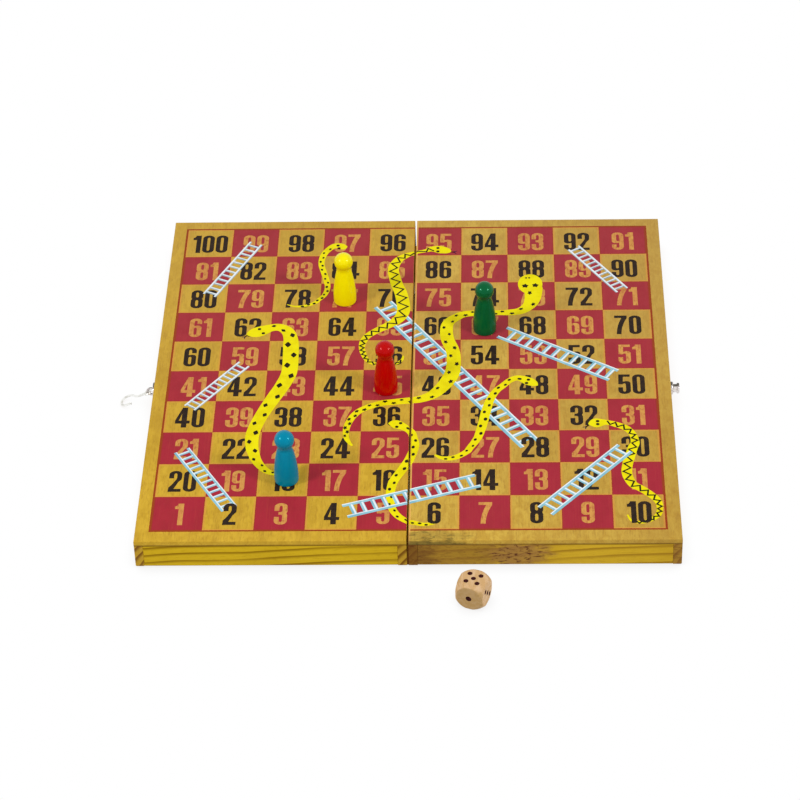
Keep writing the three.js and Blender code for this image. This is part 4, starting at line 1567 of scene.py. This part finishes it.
def mark_zigzag(shapes, walk):
    """A dark zigzag from the neck to the tail, a little narrower than the body."""
    distance = zigzag_start_share
    side = 1
    line = []
    while distance < walk.length - zigzag_end_share:
        place, along, width = walk.at(distance)
        line.append(place + sideways(along) * side * zigzag_reach_share * width)
        in_neck = width < thin_neck_share and distance < walk.length / 2
        distance += neck_step_share if in_neck else max(smallest_step_share, width * zigzag_step_share)
        side = -side
    shapes.ribbon(line, [line_width_share] * len(line), SNAKE_LAYER + MARK_LIFT, 1)


def fork_tongue(shapes, line):
    """A thin forked tongue."""
    root, end = Vector(line[0]), Vector(line[1])
    fork = root.lerp(end, fork_share)
    across = sideways(end - root) * fork_spread_share
    thin = line_width_share * tongue_line_share
    for tip in (end + across, end - across):
        shapes.ribbon([root, fork, tip], [thin, thin, thin / 2], SNAKE_LAYER - TONGUE_SINK, 2)


def dense_ink(name, dark, light):
    finish = Finish(name)
    speckle = finish.noise(INK_SPECK, detail=3.0)
    colour = finish.layer(dark, speckle, 0.42, 0.75, 1.0, light)
    return finish.surface(colour, finish.span(speckle, 0.3, 0.7, 0.36, 0.5), speckle, DENSE_INK_RELIEF)


def snake_inks():
    yellows = (SNAKE_YELLOW, DEEP_SNAKE_YELLOW, WORN_SNAKE_YELLOW)
    body = thin_ink("snake_yellow_ink", yellows, (YELLOW_PATCH, 3.0, 0.38, 0.68), (0.6, 0.35))
    return [body, *(dense_ink(name, *colours) for name, colours in dense_inks.items())]


def add_hood(shapes):
    """The round hood with its two large eye marks."""
    hood = arc(hood_centre_shares, hood_radius_shares, 0, HOOD_LAST_ANGLE, HOOD_STEPS)
    shapes.outline([hood], SNAKE_LAYER + HOOD_LIFT)
    for eye in hood_eye_shares:
        mark = star(Vector(eye), hood_eye_radius_share, *hood_eye_form)
        shapes.outline([mark], SNAKE_LAYER + MARK_LIFT, 1)


def print_snakes():
    inks = snake_inks()
    chance = random.Random(SPOT_SEED)
    for name, (kind, points) in snake_shares.items():
        shapes = Print()
        route = smooth_route(points)
        walk = Walk(route)
        if name in tongue_shares:
            fork_tongue(shapes, tongue_shares[name])
        shapes.ribbon(route, rounded_widths(route), SNAKE_LAYER)
        if name == HOODED_SNAKE:
            add_hood(shapes)
        if kind == ZIGZAG:
            mark_zigzag(shapes, walk)
        else:
            mark_spots(shapes, walk, kind, chance)
        radius = nostril_radius_share if name == HOODED_SNAKE else eye_radius_share
        for eye in eye_shares[name]:
            shapes.outline([star(Vector(eye), radius, *eye_form)], SNAKE_LAYER + EYE_LIFT, 1)
        lay_print(name, shapes, inks)


# Stage

FLOOR_SIZE = 6.0
FLOOR_GRAIN = 0.3
CONTACT_REACH = 12 * MM
CONTACT_SAMPLES = 24
FOLD_STRIP_REACH = 0.6 * MM
FOLD_STRIP_INSET = 1.7 * MM
# Painted shade, dark brown at the gap's front and lighter brown further back; it also colours the contact
# shadow
GAP_FRONT_SHADE = srgb(84, 46, 16)
GAP_BACK_SHADE = srgb(178, 126, 56)


def under_gap(finish, closeness):
    """A strip of painted shade on the floor under the fold, where the gap lets the camera see it."""
    beside = finish.math("LESS_THAN", finish.apart(finish.x, FOLD_MIDDLE), FOLD_STRIP_REACH)
    front = finish.math("GREATER_THAN", finish.y, BOARD_FRONT + FOLD_STRIP_INSET)
    back = finish.math("LESS_THAN", finish.y, BOARD_BACK)
    return finish.times(beside, front, back, finish.span(closeness, 0.5, 0.7, 1.0, 0.0))


def floor_finish():
    """Clear but for a painted soft contact shadow and painted brown shade seen through the gap, and for the
    camera only.
    """
    finish = Finish("white_floor")
    finish.nodes.remove(finish.shader)
    reach = {"Distance": CONTACT_REACH}
    ambient = finish.add("ShaderNodeAmbientOcclusion", reach, samples=CONTACT_SAMPLES, only_local=False)
    closeness = ambient.outputs["AO"]
    contact = finish.span(closeness, 0.3, 0.9, 0.12, 0.0)
    contact = finish.times(contact, finish.span(finish.noise(FLOOR_GRAIN), 0.2, 0.8, 0.94, 1.06))
    shadow = finish.math("MAXIMUM", contact, under_gap(finish, closeness))
    seen = finish.nodes.new("ShaderNodeLightPath").outputs["Is Camera Ray"]
    clear = finish.nodes.new("ShaderNodeBsdfTransparent").outputs[0]
    # Painted shade in the gap and the contact shadow: dark brown at the front, lighter brown to the back
    deeper = finish.span(finish.y, BOARD_FRONT + PANEL_UNDERSIDE, BOARD_FRONT + 3 * PANEL_UNDERSIDE)
    painted_shade_tone = finish.mix(deeper, GAP_FRONT_SHADE, GAP_BACK_SHADE)
    dark = finish.add("ShaderNodeEmission", {"Color": painted_shade_tone, "Strength": 1.0}).outputs[0]
    mixed = finish.add("ShaderNodeMixShader", {0: finish.times(shadow, seen), 1: clear, 2: dark})
    finish.give(finish.nodes["Material Output"].inputs["Surface"], mixed.outputs[0])
    return finish.material


def make_floor():
    """A floor that the camera sees as white."""
    mesh = bpy.data.meshes.new("floor")
    half = FLOOR_SIZE / 2
    corners = [(-half, -half, 0), (half, -half, 0), (half, half, 0), (-half, half, 0)]
    mesh.from_pydata(corners, [], [(0, 1, 2, 3)])
    mesh.materials.append(floor_finish())
    floor = new_object("floor", mesh)


WORLD_STRENGTH = 0.58
SOFTBOX_SIZE = 0.26
SOFTBOX_DISTANCE = 1.6
SOFTBOX_POWER = 10.0
softbox_directions = [(-0.71, -0.40, 0.57), (0.71, -0.40, 0.57)]


WORLD_STRENGTH = 0.58
SOFTBOX_SIZE = 0.26
SOFTBOX_DISTANCE = 1.6
SOFTBOX_POWER = 10.0
softbox_directions = [(-0.71, -0.40, 0.57), (0.71, -0.40, 0.57)]


def make_world():
    """Even studio light, with white seen behind the object and in its reflections."""
    world = bpy.data.worlds.new("studio")
    world.use_nodes = True
    bpy.context.scene.world = world
    tree = Tree(world.node_tree)
    path = tree.nodes.new("ShaderNodeLightPath").outputs
    seen = tree.math("MAXIMUM", path["Is Camera Ray"], path["Is Glossy Ray"])
    all_seen = tree.math("MAXIMUM", seen, path["Is Transmission Ray"])
    inputs = {"Value": all_seen, "To Min": WORLD_STRENGTH, "To Max": 1.0}
    strength = tree.add("ShaderNodeMapRange", inputs).outputs["Result"]
    background = tree.nodes["Background"].inputs
    tree.give(background["Color"], (1.0, 1.0, 1.0, 1.0))
    tree.give(background["Strength"], strength)


def make_softboxes():
    """Two soft lamps, before the board and to either side, aimed at its middle."""
    middle = Vector((FOLD_MIDDLE, (BOARD_FRONT + BOARD_BACK) / 2, FACE_LEVEL))
    for number, direction in enumerate(softbox_directions):
        data = bpy.data.lights.new(f"softbox_{number + 1}", "AREA")
        data.shape = "SQUARE"
        data.size = SOFTBOX_SIZE
        data.energy = SOFTBOX_POWER
        lamp = new_object(f"softbox_{number + 1}", data)
        away = Vector(direction).normalized()
        lamp.location = middle + away * SOFTBOX_DISTANCE
        lamp.rotation_mode = "QUATERNION"
        lamp.rotation_quaternion = away.to_track_quat("Z", "Y")


CAMERA_PLACE = Vector((50.882, -1240.246, 1009.465)) * MM
CAMERA_AZIMUTH = math.radians(-2.29743)
CAMERA_DOWN = math.radians(38.8196)
CAMERA_ROLL = math.radians(-1.79209)
CAMERA_LENS = 137.2


def make_camera():
    """The photograph's view: its place, the way it looks and its small roll."""
    azimuth, down, roll = CAMERA_AZIMUTH, CAMERA_DOWN, CAMERA_ROLL
    level_share = math.cos(down)
    forward = Vector((math.sin(azimuth) * level_share, math.cos(azimuth) * level_share, -math.sin(down)))
    level = Vector((math.cos(azimuth), -math.sin(azimuth), 0.0))
    right = level * math.cos(roll) + level.cross(forward) * math.sin(roll)
    up = right.cross(forward)
    data = bpy.data.cameras.new("camera")
    data.lens = CAMERA_LENS
    camera = new_object("camera", data)
    turn = Matrix((right, up, -forward)).transposed().to_4x4()
    camera.matrix_world = Matrix.Translation(CAMERA_PLACE) @ turn
    bpy.context.scene.camera = camera


make_camera()
dress_halves()
dress_hinges()
dress_latch()
make_pawns()
make_die()
print_numbers()
print_ladders()
print_snakes()
make_floor()
make_world()
make_softboxes()
bpy.context.scene.view_settings.view_transform = "Standard"
